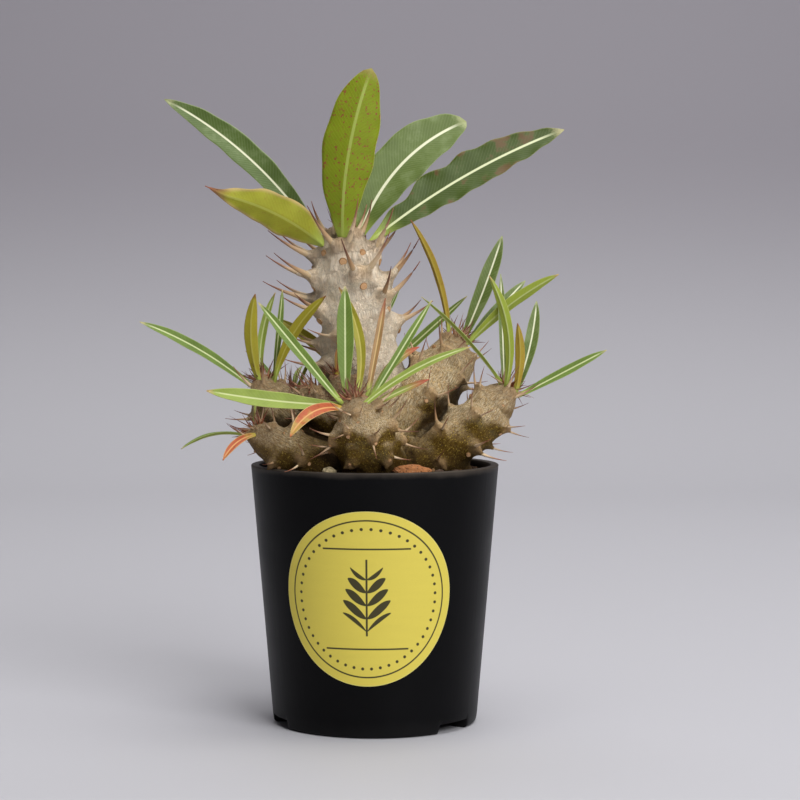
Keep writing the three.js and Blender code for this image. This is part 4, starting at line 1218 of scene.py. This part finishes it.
# Each tuft: the middle of its crown, the way the crown faces, how far out and up from there
# its leaves start, and the leaves.
TUFTS = {
    "top": dict(
        crown=(-10.5, 2, 174), faces=(-0.1, 0, 1), ring=9, lift=-0.5,
        leaves=[
            leaf_at(162, 37, 89, 10.5, "slate", arch=0.065),
            leaf_at(-152, 17, 58, 14, "fading_edge", arch=0.07, widest=0.33, taper=1.4, waves=0.05,
                    curl=0.05, upper=FROM_VIEWER),
            leaf_at(-60, 73, 64, 19, "backlit", sway=-0.085, taper=0.6, origin=-97,
                    upper=FROM_VIEWER),
            leaf_at(32, 41, 70, 19, "grey_green", arch=0.115, taper=0.6, origin=65),
            leaf_at(13, 27, 93, 15, "deep_green", arch=0.04, widest=0.47, origin=3, waves=0.04,
                    ruffle=0.17),
            leaf_at(87, 57, 33, 8, upper=None),
        ],
    ),
    "front": dict(
        crown=(-6.5, -36, 118.5), faces=(-0.1, -0.35, 0.93), ring=5.5, lift=0.4,
        leaves=[
            leaf_at(177, 45, 48, 4, origin=200),
            leaf_at(112, 75, 41, 6, origin=130),
            leaf_at(-172, 4, 52, 6.2, "light_green", arch=-0.02, down=1.5),
            leaf_at(-144, -23, 30, 4.6, "rust", arch=0.17, down=2),
            leaf_at(13, 52, 44, 3, origin=-20),
            leaf_at(28, 36, 31, 3, "red_tip", arch=0.1, origin=8),
            leaf_at(-3, 25, 44, 3, "light_green", arch=0.06, origin=-88, down=2),
            leaf_at(13, 15, 27, 2.6, "red_tip", arch=0.02, origin=-56, down=2.2),
            leaf_at(111, 66, 43, 3.6, "olive", sway=-0.12, origin=85),
            leaf_at(57, 62, 40, 2.6, "brown_fold", origin=42),
        ],
    ),
    "left": dict(
        crown=(-39.5, -6, 123.5), faces=(-0.45, 0, 0.9), ring=5, lift=0.6,
        leaves=[
            leaf_at(-170, 26, 50, 4, arch=0.045),
            leaf_at(-111, 75, 33, 4.8, "olive", sway=-0.08, upper=FROM_VIEWER),
            leaf_at(72, 72, 34, 3, "light_green", sway=0.1, origin=110),
            leaf_at(18, 79, 34, 3, origin=40, upper=(0.6, -0.6, 0)),
            leaf_at(-20, 53, 39, 4.2, "olive", arch=0.08, upper=FROM_VIEWER),
        ],
    ),
    "low_left": dict(
        crown=(-42, -21, 107.5), faces=(-0.8, -0.15, 0.6), ring=3.5, lift=0.6,
        leaves=[
            leaf_at(-161, -13, 28, 3, arch=0.12, upper=(0, 0, 1)),
            leaf_at(-129, -30, 20, 2.8, "rust", arch=0.12, down=1),
            leaf_at(100, 73, 10, 2, upper=None),
        ],
    ),
    "right_upper": dict(
        crown=(30.5, 8, 138.5), faces=(0.3, 0.1, 0.95), ring=4.5, lift=0.6,
        leaves=[
            leaf_at(-150, 65, 48, 3, "golden", arch=0.07, upper=(0.5, 0.8, 0)),
            leaf_at(31, 63, 43, 6.2, "grey_green", sway=-0.04, origin=65),
            leaf_at(-10, 33, 44, 4.4, "light_green", arch=0.05, upper=FROM_VIEWER),
            leaf_at(34, 35, 38, 4.5, "grey_green"),
        ],
    ),
    "right_lower": dict(
        crown=(48, -8, 121), faces=(0.6, 0, 0.8), ring=4.5, lift=0.6,
        leaves=[
            leaf_at(-156, 44, 48, 2.6, arch=0.03, origin=200, upper=(0, 0, 1)),
            leaf_at(98, 71, 44, 2.8, "grey_green", origin=120),
            leaf_at(-118, 68, 44, 3.7, "light_green", arch=0.04, sway=0.08, upper=FROM_VIEWER),
            leaf_at(-75, 67, 26, 3.5, "golden", sway=0.05, origin=-50, upper=FROM_VIEWER),
            leaf_at(43, 65, 35, 4.8, "grey_green", sway=-0.06),
            leaf_at(-3, 22, 38, 3.5),
        ],
    ),
    "middle": dict(
        crown=(-13, -15, 127), faces=(-0.2, -0.3, 0.9), ring=2, lift=0.6,
        leaves=[
            leaf_at(-104, 76, 9, 1.6, "rust", upper=None),
        ],
    ),
    "back": dict(
        crown=(-5, 24, 122.5), faces=(0, 0.25, 0.95), ring=4.5, lift=0.6,
        leaves=[
            leaf_at(-176, 37, 39, 4.5, "olive", arch=0.05),
            leaf_at(3, 39, 51, 3.2),
            leaf_at(82, 35, 33, 4, arch=0.1, upper=None),
            leaf_at(109, 58, 44, 5, arch=0.06, upper=None),
            leaf_at(56, 53, 46, 4.5, arch=0.06, upper=None),
        ],
    ),
    "back_left": dict(
        crown=(-31.5, 19, 118.5), faces=(-0.4, 0.3, 0.85), ring=4, lift=0.6,
        leaves=[
            leaf_at(-21, 57, 15, 2, upper=None),
            leaf_at(150, 38, 25, 3.6, arch=0.08, upper=None),
            leaf_at(78, 27, 21, 3.4, "light_green", arch=0.08, upper=None),
        ],
    ),
}

# The colours of a leaf: its upper side, its underside, midrib, edge and tip, and how much it
# is speckled and blotched.
LEAF_LOOKS = {
    "green": dict(upper=(104, 128, 52), under=(140, 152, 62), rib=(214, 222, 166),
                  edge=(168, 182, 110), tip=(190, 180, 130)),
    "slate": dict(upper=(84, 104, 48), under=(142, 156, 74), rib=(240, 240, 206),
                  edge=(176, 184, 132), tip=(166, 170, 124), bloom=0.15),
    "fading_edge": dict(upper=(150, 158, 58), under=(156, 156, 46), rib=(180, 184, 90),
                        edge=(198, 160, 120), tip=(150, 90, 66), edge_width=1.6, tip_reach=0.2,
                        speckles=0.15),
    "backlit": dict(upper=(118, 134, 22), under=(124, 138, 20), rib=(182, 196, 104),
                    edge=(196, 196, 110), tip=(150, 140, 70), speckles=1.0),
    "grey_green": dict(upper=(94, 112, 50), under=(146, 162, 86), rib=(240, 240, 206),
                       edge=(176, 186, 130), tip=(164, 170, 120), bloom=0.15),
    "deep_green": dict(upper=(62, 80, 16), under=(136, 152, 60), rib=(232, 236, 190),
                       edge=(150, 152, 92), tip=(176, 170, 126), bloom=0.08, blotches=0.9),
    "light_green": dict(upper=(140, 158, 66), under=(148, 162, 58), rib=(206, 214, 150),
                        edge=(184, 186, 112), tip=(186, 160, 106)),
    "olive": dict(upper=(150, 144, 44), under=(158, 148, 42), rib=(190, 180, 92),
                  edge=(176, 150, 84), tip=(136, 92, 50)),
    "golden": dict(upper=(162, 138, 48), under=(168, 144, 50), rib=(196, 178, 92),
                   edge=(174, 140, 80), tip=(140, 84, 52), speckles=0.3),
    "red_tip": dict(upper=(132, 146, 58), under=(142, 150, 62), rib=(196, 200, 132),
                    edge=(176, 130, 86), tip=(176, 84, 60), tip_reach=0.45),
    "brown_fold": dict(upper=(158, 124, 78), under=(164, 130, 84), rib=(206, 174, 120),
                       edge=(172, 124, 86), tip=(150, 92, 66), tip_reach=0.25),
    "rust": dict(upper=(184, 92, 56), under=(190, 110, 68), rib=(222, 166, 104),
                 edge=(232, 208, 140), tip=(196, 120, 76), speckles=0.6, base=(200, 184, 76),
                 fading=0.7),
}
FIRST_LEAF_SEED = 101
STALK = 1.5
STALK_DEPTH = 2.5  # of its root in the crown
STALK_ROOT = 0.45  # share of the crown's ring at which it starts
STALK_ROUND = 0.6
LEAF_TIP = 0.35
WIDEST = 0.55
TAPER = 0.8
NARROWING = 2.2
BLADE_FOLD = 0.16
BLADE_STEPS = 44
BLADE_COLUMNS = 14
COLUMN_SPREAD = 0.85  # under 1, the columns crowd towards the edges
BLADE_HALF = 0.24  # half the thickness at the midrib
EDGE_HALF = 0.1
STALK_HALF = 0.12
RIB_WIDTH = 0.24  # half, on the narrowest leaf
RIB_GROWTH = 0.022
RIB_GROOVE = 0.12  # above
RIB_KEEL = 0.3  # below
UNEVENNESS = 0.03  # of the blade's width
UNEVEN_LENGTH = 17
UNEVEN_STARTS = (1.0, 3.6)  # on the two edges
RUFFLE_LENGTH = 19
RUFFLE_START = 4.4
WAVE_LENGTH = 11
PLAIN_WAVES = 0.016
SUNK_ROWS = 3


def leaf_run(tuft, leaf):
    """The foot, bend and tip of a leaf, and the root of its stalk inside the crown."""
    crown = np.array(tuft["crown"], float)
    faces = unit(np.array(tuft["faces"], float))
    outward = square_to(faces, heading(leaf.get("origin", leaf["angle"]), 0))
    foot = crown + outward * tuft["ring"] + faces * (tuft["lift"] - leaf.get("down", 0))
    tip = crown + heading(leaf["angle"], leaf["rise"]) * leaf["reach"]
    length = np.linalg.norm(tip - foot)
    straight = (tip - foot) / length
    upward = square_to(straight, UP)
    aside = unit(np.cross(UP, straight))
    bend = (foot + tip) / 2
    bend = bend + upward * 2 * leaf.get("arch", 0) * length
    bend = bend + aside * 2 * leaf.get("sway", 0) * length
    root = crown + outward * STALK_ROOT * tuft["ring"]
    root = root - faces * (STALK_DEPTH + leaf.get("down", 0))
    return foot, bend, tip, root


def leaf_width(leaf, share):
    widest = leaf.get("widest", WIDEST)
    swell = np.sin(np.pi / 2 * np.minimum(1, share / widest))
    narrowing = (np.maximum(0, share - widest) / (1 - widest)) ** NARROWING
    width = mix(STALK, leaf["width"], swell) * (1 - narrowing) ** leaf.get("taper", TAPER)
    return np.maximum(LEAF_TIP, width)


def wave_along(distance, wavelength, start):
    return np.sin(2 * np.pi * distance / wavelength + start)


def blade_span(leaf, share, distance, full, out):
    """How far out of the midrib each column is, with an uneven and perhaps ruffled outline."""
    ruffled = np.where(out > 0, leaf.get("ruffle", 0), 0)
    ruffled = ruffled * smooth(share, 0.04, 0.16) * (1 - smooth(share, 0.42, 0.6))
    ruffle = ruffled * wave_along(distance, RUFFLE_LENGTH, RUFFLE_START)
    starts = np.where(out < 0, *UNEVEN_STARTS)
    uneven = UNEVENNESS * wave_along(distance, UNEVEN_LENGTH, starts)
    return out * full / 2 * (1 + uneven + ruffle)


def blade_faces(leaf, share, distance, full, out, ribbed, starts):
    """The heights of the blade's upper and lower side over its midline."""
    fold = BLADE_FOLD * full * abs(out) ** 1.25
    waves = leaf.get("waves", PLAIN_WAVES) * leaf["width"] * abs(out) ** 3
    calm = smooth(share, 0.04, 0.25) * (1 - smooth(share, 0.9, 1))
    height = fold + waves * calm * wave_along(distance, WAVE_LENGTH, np.where(out < 0, *starts))
    stalk_half = STALK_ROUND * (1 - out**2) + STALK_HALF
    half = mix(stalk_half, mix(BLADE_HALF, EDGE_HALF, abs(out)), smooth(share, 0, 0.1))
    groove = RIB_GROOVE * ribbed * smooth(share, 0.05, 0.15)
    keel = RIB_KEEL * ribbed * (1 - smooth(share, 0.75, 1))
    return height + half - groove, height - half - keel


def leaf_piece(node, tuft, leaf, seed, looks):
    """A thin folded blade with a raised midrib, waved edges and a stalk set in the crown."""
    foot, bend, tip, root = leaf_run(tuft, leaf)
    share = np.linspace(0, 1, BLADE_STEPS + 1)[:, None]
    middle = (1 - share) ** 2 * foot + 2 * share * (1 - share) * bend + share**2 * tip
    along = unit((1 - share) * (bend - foot) + share * (tip - bend))
    over = square_to(along, np.array(leaf["upper"] or tuft["faces"], float))
    across = np.cross(over, along)
    length = np.linalg.norm(np.diff(middle, axis=0), axis=1).sum()
    middle = middle + UP * leaf.get("curl", 0) * length * smooth(share, 0.78, 1.05) ** 1.5
    distance = length * share
    full = leaf_width(leaf, share)
    out = np.linspace(-1, 1, BLADE_COLUMNS + 1)[None, :]
    out = np.sign(out) * abs(out) ** COLUMN_SPREAD
    span = blade_span(leaf, share, distance, full, out)
    rib_half = RIB_WIDTH + RIB_GROWTH * leaf["width"]
    ribbed = np.exp(-((span / rib_half) ** 2))
    starts = np.random.default_rng(seed).uniform(0, 2 * np.pi, 2)
    top, bottom = blade_faces(leaf, share, distance, full, out, ribbed, starts)
    surface = middle[:, None] + across[:, None] * span[..., None]
    upper_rows = surface + over[:, None] * top[..., None]
    lower_rows = surface + over[:, None] * bottom[..., None]
    rings = np.concatenate([lower_rows, upper_rows[:, ::-1]], 1)
    sink = np.linspace(0, 1, SUNK_ROWS, endpoint=False)[:, None, None]
    stalk = rings[:1] + (root - foot) * (1 - sink)
    points, faces = loft(np.concatenate([stalk, rings]))
    marks = leaf_marks(share, out, span, full, length)
    marks["rib"] = marks["blade"][:, 1] / rib_half
    add_piece(node + "_blade", points, faces, looks[leaf["look"]], [node], marks)


def leaf_marks(share, out, span, full, length):
    """Where a point is on its leaf: along, out from the midrib and in from the edge."""
    shares = np.broadcast_to(share, span.shape)
    inset = (1 - abs(out)) * full / 2
    spots = np.stack([shares * length, span, inset], -1)

    def round_both_sides(lower, upper):
        rows = np.concatenate([lower, upper], 1)
        return np.concatenate([rows[:1]] * SUNK_ROWS + [rows])

    return {
        "blade": round_both_sides(spots, spots[:, ::-1]).reshape(-1, 3),
        "side": round_both_sides(0 * span, 0 * span + 1).ravel(),
        "share": round_both_sides(shares, shares).ravel(),
    }


def shade_of(colour, factor, lift=0):
    """A colour made darker or lighter, as seen on a screen."""
    return tone(*(min(255, factor * channel + lift) for channel in colour))


def leaf_finish(name, upper, under, rib, edge, tip, base=(168, 186, 86), bloom=0.0,
                speckles=0.0, blotches=0.0, fading=0.0, edge_width=0.42, tip_reach=0.05):
    """A leathery leaf with a pale midrib, fine side veins, a pale edge and a dry tip."""
    leaf = Finish("leaf_" + name, specular_ior_level=0.25)
    place = leaf.place()
    blade = leaf.mark_place("blade")
    along = leaf.part(blade, "X")
    span = leaf.part(blade, "Y")
    inset = leaf.part(blade, "Z")
    side = leaf.mark("side")
    share = leaf.mark("share")
    patches = leaf.cloud(place, 7, 3)
    fine = leaf.cloud(place, 0.8, 4, 0.6)
    face = leaf.blend(patches, shade_of(upper, 0.86), shade_of(upper, 1.12, 4))
    back = leaf.blend(patches, shade_of(under, 0.92), shade_of(under, 1.1))
    flesh = leaf.blend(side, back, face)
    vein_wave = leaf.math("FRACT", (along - abs(span) * 1.1) / 1.5 + 0.6 * patches)
    veins = 1 - leaf.ease(abs(vein_wave - 0.5), 0.03, 0.2)
    veined = leaf.blend(veins * 0.04, flesh, tone(*rib))
    bloomed = leaf.ease(patches + 0.3 * fine, 0.6, 0.85) * bloom
    clouded = leaf.blend(bloomed, veined, tone(176, 184, 150))
    spots = leaf.ease(leaf.cloud(place, 1.1, 3), 0.57, 0.66)
    spotted = leaf.blend(spots * speckles, clouded, tone(140, 72, 48))
    faded = leaf.blend(leaf.ease(patches, 0.5, 0.64) * fading, spotted, tone(186, 168, 84))
    blotch = leaf.ease(patches - 0.25 * abs(share - 0.68), 0.5, 0.62)
    blotched = leaf.blend(blotch * blotches, faded, tone(104, 78, 46))
    midrib = (1 - leaf.ease(abs(leaf.mark("rib")), 0.55, 1)) * (1 - leaf.ease(share, 0.86, 0.99))
    ribbed = leaf.blend(midrib * (0.55 + 0.35 * side), blotched, tone(*rib))
    rim = 1 - leaf.ease(inset + 0.2 * fine, 0.1, edge_width)
    rimmed = leaf.blend(rim * 0.6, ribbed, tone(*edge))
    ended = leaf.blend(leaf.ease(share + 0.06 * fine, 1.01 - tip_reach, 1.02), rimmed, tone(*tip))
    footed = leaf.blend(1 - leaf.ease(share + 0.05 * patches, 0.02, 0.2), ended, tone(*base))
    leaf.set("Base Color", footed)
    leaf.set("Roughness", 0.4 + 0.14 * fine + 0.1 * (1 - side))
    leaf.relief(0.4 * veins + 0.7 * fine + 0.6 * patches, 0.12, 0.45)
    return leaf


# Soil and stones

SOIL_MOUND = 2.2
SOIL_GRAIN = 0.5
SOIL_LUMPS = 0.7
SOIL_SWERVE = 0.3
SOIL_RINGS = 70
SOIL_SIDES = 150
SOIL_GAP = 0.3  # to the pot, and below the height that crumbs lie on
SOIL_SHADE = 0.2
CRUMBLE = 0.6
CRUMBLE_SIZE = 2.6
FINE_CRUMBLE = 0.35
FINE_CRUMBLE_SIZE = 1.1
CRUMBS = 1500
CRUMB_PICKS = 12
CRUMB_REACH = RIM_RADIUS - RIM_WIDTH - 2
CRUMB_SIZES = (0.45, 1.9)
CRUMB_FINENESS = 2.5  # over 1, most crumbs are small
CRUMB_ROUGHNESS = 0.22
CRUMB_FLATNESS = 0.6  # the least share of its size that a crumb measures in any direction
CRUMB_LIFT = 0.15
CRUMB_DETAIL = 1
STONE_DETAIL = 4
STONE_LUMPS = 0.16
STONE_LUMP_SIZE = 0.55  # on a ball of radius 1
STONE_GRIT = 0.07
STONE_GRIT_SIZE = 0.2
FIRST_STONE_SEED = 20

# Each kind of stone: its dark and pale colours, and how much its pores show.
STONE_KINDS = {
    "pumice": dict(dark=(150, 132, 98), pale=(206, 190, 152), pores=0.7),
    "chalk": dict(dark=(196, 188, 170), pale=(228, 222, 208), pores=0.2),
    "terracotta": dict(dark=(138, 84, 48), pale=(196, 132, 82), pores=0.6),
    "slag": dict(dark=(52, 38, 30), pale=(96, 74, 58), pores=0.4),
}
# Each stone's kind and material slot.
STONES = {
    "white": ("chalk", "pale_stone"), "beige": ("pumice", "beige_stone"),
    "clay": ("terracotta", "terracotta"), "dark": ("slag", "dark_stone"),
    "brown": ("slag", "dark_stone"), "grey": ("pumice", "beige_stone"),
}


def soil_top(x, y):
    """The soil's height at a place, mounded towards the plant and lumpy."""
    def wave(a, b):
        return np.sin(SOIL_LUMPS * a + 2 * np.sin(SOIL_SWERVE * b))

    nearness = 1 - np.hypot(x, y) / RIM_RADIUS
    mound = SOIL_MOUND * smooth(nearness, 0, 0.5)
    return SOIL_LEVEL + mound + SOIL_GRAIN * wave(x, y) * wave(y, x)


def soil_piece(finish):
    """The filling of the pot, crumbly on top."""
    bottom = FLOOR_TOP + SOIL_GAP
    foot_reach, reach = (wall_radius(z) - WALL - SOIL_GAP for z in (bottom, SOIL_LEVEL))
    radii = np.linspace(reach, 1, SOIL_RINGS)
    around = heading(np.linspace(0, 360, SOIL_SIDES, endpoint=False), 0)
    foot = around * foot_reach + bottom * UP
    rings = radii[:, None, None] * around
    height = soil_top(rings[..., 0], rings[..., 1]) - SOIL_GAP
    flat = rings.reshape(-1, 3)
    crumble = CRUMBLE * ripple(flat, CRUMBLE_SIZE, 4)
    crumble = crumble + FINE_CRUMBLE * ripple(flat, FINE_CRUMBLE_SIZE, 6)
    rings[..., 2] = height + crumble.reshape(height.shape)
    rings[0, :, 2] = SOIL_LEVEL - SOIL_GRAIN
    points, faces = loft(np.concatenate([foot[None], rings]))
    marks = {"shade": np.full(len(points), SOIL_SHADE)}
    add_piece("potting_soil", points, faces, finish, ["soil"], marks)


def ball(level):
    """The points and faces of a round form, split finer with each level."""
    golden = (1 + 5**0.5) / 2
    points = []
    for i in range(3):
        for a in (-1, 1):
            for b in (-golden, golden):
                point = [0.0, 0.0, 0.0]
                point[(i + 1) % 3], point[(i + 2) % 3] = a, b
                points.append(point)
    points = [Vector(p).normalized() for p in points]
    edge = min((points[0] - p).length for p in points[1:]) * 1.01
    near = [[(points[a] - points[b]).length < edge for b in range(12)] for a in range(12)]
    faces = []
    for a in range(12):
        for b in range(a + 1, 12):
            for c in range(b + 1, 12):
                if near[a][b] and near[b][c] and near[a][c]:
                    normal = (points[b] - points[a]).cross(points[c] - points[a])
                    faces.append((a, b, c) if normal.dot(points[a]) > 0 else (a, c, b))
    for _ in range(level):
        halves = {}
        finer = []
        for face in faces:
            mids = []
            for a, b in zip(face, face[1:] + face[:1]):
                key = (min(a, b), max(a, b))
                if key not in halves:
                    halves[key] = len(points)
                    points.append((points[a] + points[b]).normalized())
                mids.append(halves[key])
            finer += [(face[i], mids[i], mids[i - 1]) for i in range(3)] + [tuple(mids)]
        faces = finer
    return np.array(points), faces


def turned(points, angles):
    """Points turned by angles about X, Y and Z, in radians."""
    for axis, angle in enumerate(angles):
        i, j = (axis + 1) % 3, (axis + 2) % 3
        turned_points = points.copy()
        turned_points[:, i] = points[:, i] * math.cos(angle) - points[:, j] * math.sin(angle)
        turned_points[:, j] = points[:, i] * math.sin(angle) + points[:, j] * math.cos(angle)
        points = turned_points
    return points


def crumbs_piece(finish):
    """Loose crumbs of soil and grit, most of them dark."""
    heap = Heap()
    pick = np.random.default_rng(CRUMB_PICKS)
    sphere, faces = ball(CRUMB_DETAIL)
    for _ in range(CRUMBS):
        reach = CRUMB_REACH * math.sqrt(pick.random())
        spot = reach * heading(pick.uniform(0, 360), 0)
        size = mix(*CRUMB_SIZES, pick.random() ** CRUMB_FINENESS)
        rough = CRUMB_ROUGHNESS * pick.normal(size=(len(sphere), 1)).clip(-1.5, 1.5)
        lump = sphere * (1 + rough) * size * pick.uniform(CRUMB_FLATNESS, 1, 3)
        form = turned(lump, pick.uniform(0, 2 * np.pi, 3))
        spot[2] = soil_top(spot[0], spot[1]) + CRUMB_LIFT * size
        heap.add(form + spot, faces, shade=pick.random())
    heap.piece("soil_crumbs", finish, "soil")


def stone_piece(name, seed, finish):
    """A rough stone in the place and size of its solid."""
    low, high = (np.array(corner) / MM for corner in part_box("stone_" + name))
    sphere, faces = ball(STONE_DETAIL)
    lumps = STONE_LUMPS * ripple(sphere, STONE_LUMP_SIZE, seed)
    grit = STONE_GRIT * ripple(sphere, STONE_GRIT_SIZE, seed + 9)
    points = sphere * (1 + lumps + grit)[:, None]
    points = points / abs(points).max(0) * (high - low) / 2 + (low + high) / 2
    node = "stone_" + name
    add_piece(node + "_rough", points, faces, finish, [node])


def soil_finish():
    """Dark crumbly soil with paler bits."""
    soil = Finish("soil", specular_ior_level=0.2)
    place = soil.place()
    shade = soil.mark("shade")
    clumps = soil.cloud(place, 1.6, 4, 0.6)
    fine = soil.cloud(place, 0.35, 4, 0.65)
    dark = soil.blend(clumps, tone(38, 27, 20), tone(82, 60, 42))
    pale = soil.blend(soil.ease(shade, 0.8, 0.97), dark, tone(140, 108, 74))
    soil.set("Base Color", soil.blend(soil.ease(fine, 0.6, 0.75) * 0.4, pale, tone(122, 96, 68)))
    soil.set("Roughness", 0.8 + 0.15 * fine)
    soil.relief(clumps + fine, 0.5, 0.8)
    return soil


def stone_finish(name, dark, pale, pores):
    """Rough stone with pores."""
    stone = Finish(name, specular_ior_level=0.25)
    place = stone.place()
    clumps = stone.cloud(place, 1.8, 4, 0.6)
    fine = stone.cloud(place, 0.4, 4, 0.6)
    holes = 1 - stone.ease(stone.cells(place, 0.9), 0.15, 0.42)
    skin = stone.blend(clumps, tone(*dark), tone(*pale))
    flecked = stone.blend(stone.ease(fine, 0.58, 0.72) * 0.35, skin, tone(238, 228, 206))
    stone.set("Base Color", stone.blend(holes * pores, flecked, tone(70, 50, 34)))
    stone.set("Roughness", 0.78 + 0.15 * fine)
    stone.relief(clumps + 0.6 * fine - pores * holes, 0.4, 0.8)
    return stone


# Studio

FLOOR_REACH = 7000
FLOOR_ROWS = 12
SWEEP_START = 900
SWEEP_RADIUS = 700
SWEEP_ROWS = 24
SWEEP_COLUMNS = 9
WALL_TOP = 2600
WALL_SHADE_HEIGHTS = (-40, 330)  # between which painted shade darkens the paper


def add_studio():
    """A pale sweep of paper from the floor up behind the plant."""
    turns = np.linspace(0, np.pi / 2, SWEEP_ROWS)[1:]
    profile = [
        *((y, 0) for y in np.linspace(-FLOOR_REACH, SWEEP_START, FLOOR_ROWS)),
        *((SWEEP_START + SWEEP_RADIUS * np.sin(t), SWEEP_RADIUS * (1 - np.cos(t))) for t in turns),
        (SWEEP_START + SWEEP_RADIUS, WALL_TOP),
    ]
    across = np.linspace(-FLOOR_REACH, FLOOR_REACH, SWEEP_COLUMNS)
    points = [(x, y, z) for y, z in profile for x in across]
    corner = np.arange(len(points)).reshape(len(profile), SWEEP_COLUMNS)
    quads = np.stack([corner[:-1, :-1], corner[:-1, 1:], corner[1:, 1:], corner[1:, :-1]], -1)
    faces = quads.reshape(-1, 4).tolist()
    make_object("studio_paper", points, faces, paper_finish())


def paper_finish():
    """Pale paper, with painted shade that darkens it up the wall."""
    paper = Finish("studio_paper", specular_ior_level=0.3, roughness=0.6)
    place = paper.place()
    # Painted shade, growing darker up the wall.
    wall_shade = paper.ease(paper.part(place, "Z"), *WALL_SHADE_HEIGHTS)
    paper.set("Base Color", paper.blend(wall_shade, tone(197, 196, 201), tone(147, 143, 150)))
    return paper


def add_light(name, place, aim, size, power):
    lamp = bpy.data.lights.new(name, "AREA")
    lamp.shape = "RECTANGLE"
    lamp.size, lamp.size_y = size[0] * MM, size[1] * MM
    lamp.energy = power
    light = bpy.data.objects.new(name, lamp)
    light.location = Vector(place) * MM
    light.rotation_euler = (Vector(aim) - Vector(place)).to_track_quat("-Z", "Y").to_euler()
    bpy.context.scene.collection.objects.link(light)


def add_lights():
    middle = (0, 0, 110)
    add_light("overhead", (250, -200, 1700), middle, (1400, 1100), 19)
    add_light("front_fill", (750, -1250, 950), middle, (1000, 800), 20)
    add_light("back_fill", (0, 1000, 1500), (0, 1150, 0), (2200, 700), 9)
    sky = bpy.data.worlds.new("sky")
    sky.use_nodes = True
    background = sky.node_tree.nodes["Background"].inputs
    background["Color"].default_value = (0.92, 0.92, 0.97, 1)
    background["Strength"].default_value = 0.08
    bpy.context.scene.world = sky
    bpy.context.scene.view_settings.view_transform = "Standard"


# Everything together

pot_piece(pot_plastic())
label_piece(label_paper())

limbs = {name: Limb(shape["course"]) for name, shape in LIMBS.items()}
knobs = [
    Knob(limbs[name], *knob) for name, shape in LIMBS.items() for knob in knobs_up(name, shape)
]
clay = woody_body(limbs, knobs, bark_finish())
spines_piece(knobs, spine_finish())
tip_tufts_piece(limbs, clay, tuft_finish())
scars_piece(knobs, clay, scar_finish())

looks = {name: leaf_finish(name, **colours) for name, colours in LEAF_LOOKS.items()}
leaves = [
    (f"leaf_{name}_{number}", tuft, shape)
    for name, tuft in TUFTS.items() for number, shape in enumerate(tuft["leaves"], 1)
]
for seed, (node, tuft, shape) in enumerate(leaves, FIRST_LEAF_SEED):
    leaf_piece(node, tuft, shape, seed, looks)

loose_soil = soil_finish()
soil_piece(loose_soil)
crumbs_piece(loose_soil)
stone_finishes = {kind: stone_finish(kind, **facts) for kind, facts in STONE_KINDS.items()}
for seed, (name, (kind, slot)) in enumerate(STONES.items(), FIRST_STONE_SEED):
    stone_piece(name, seed, stone_finishes[kind])

add_studio()
add_lights()
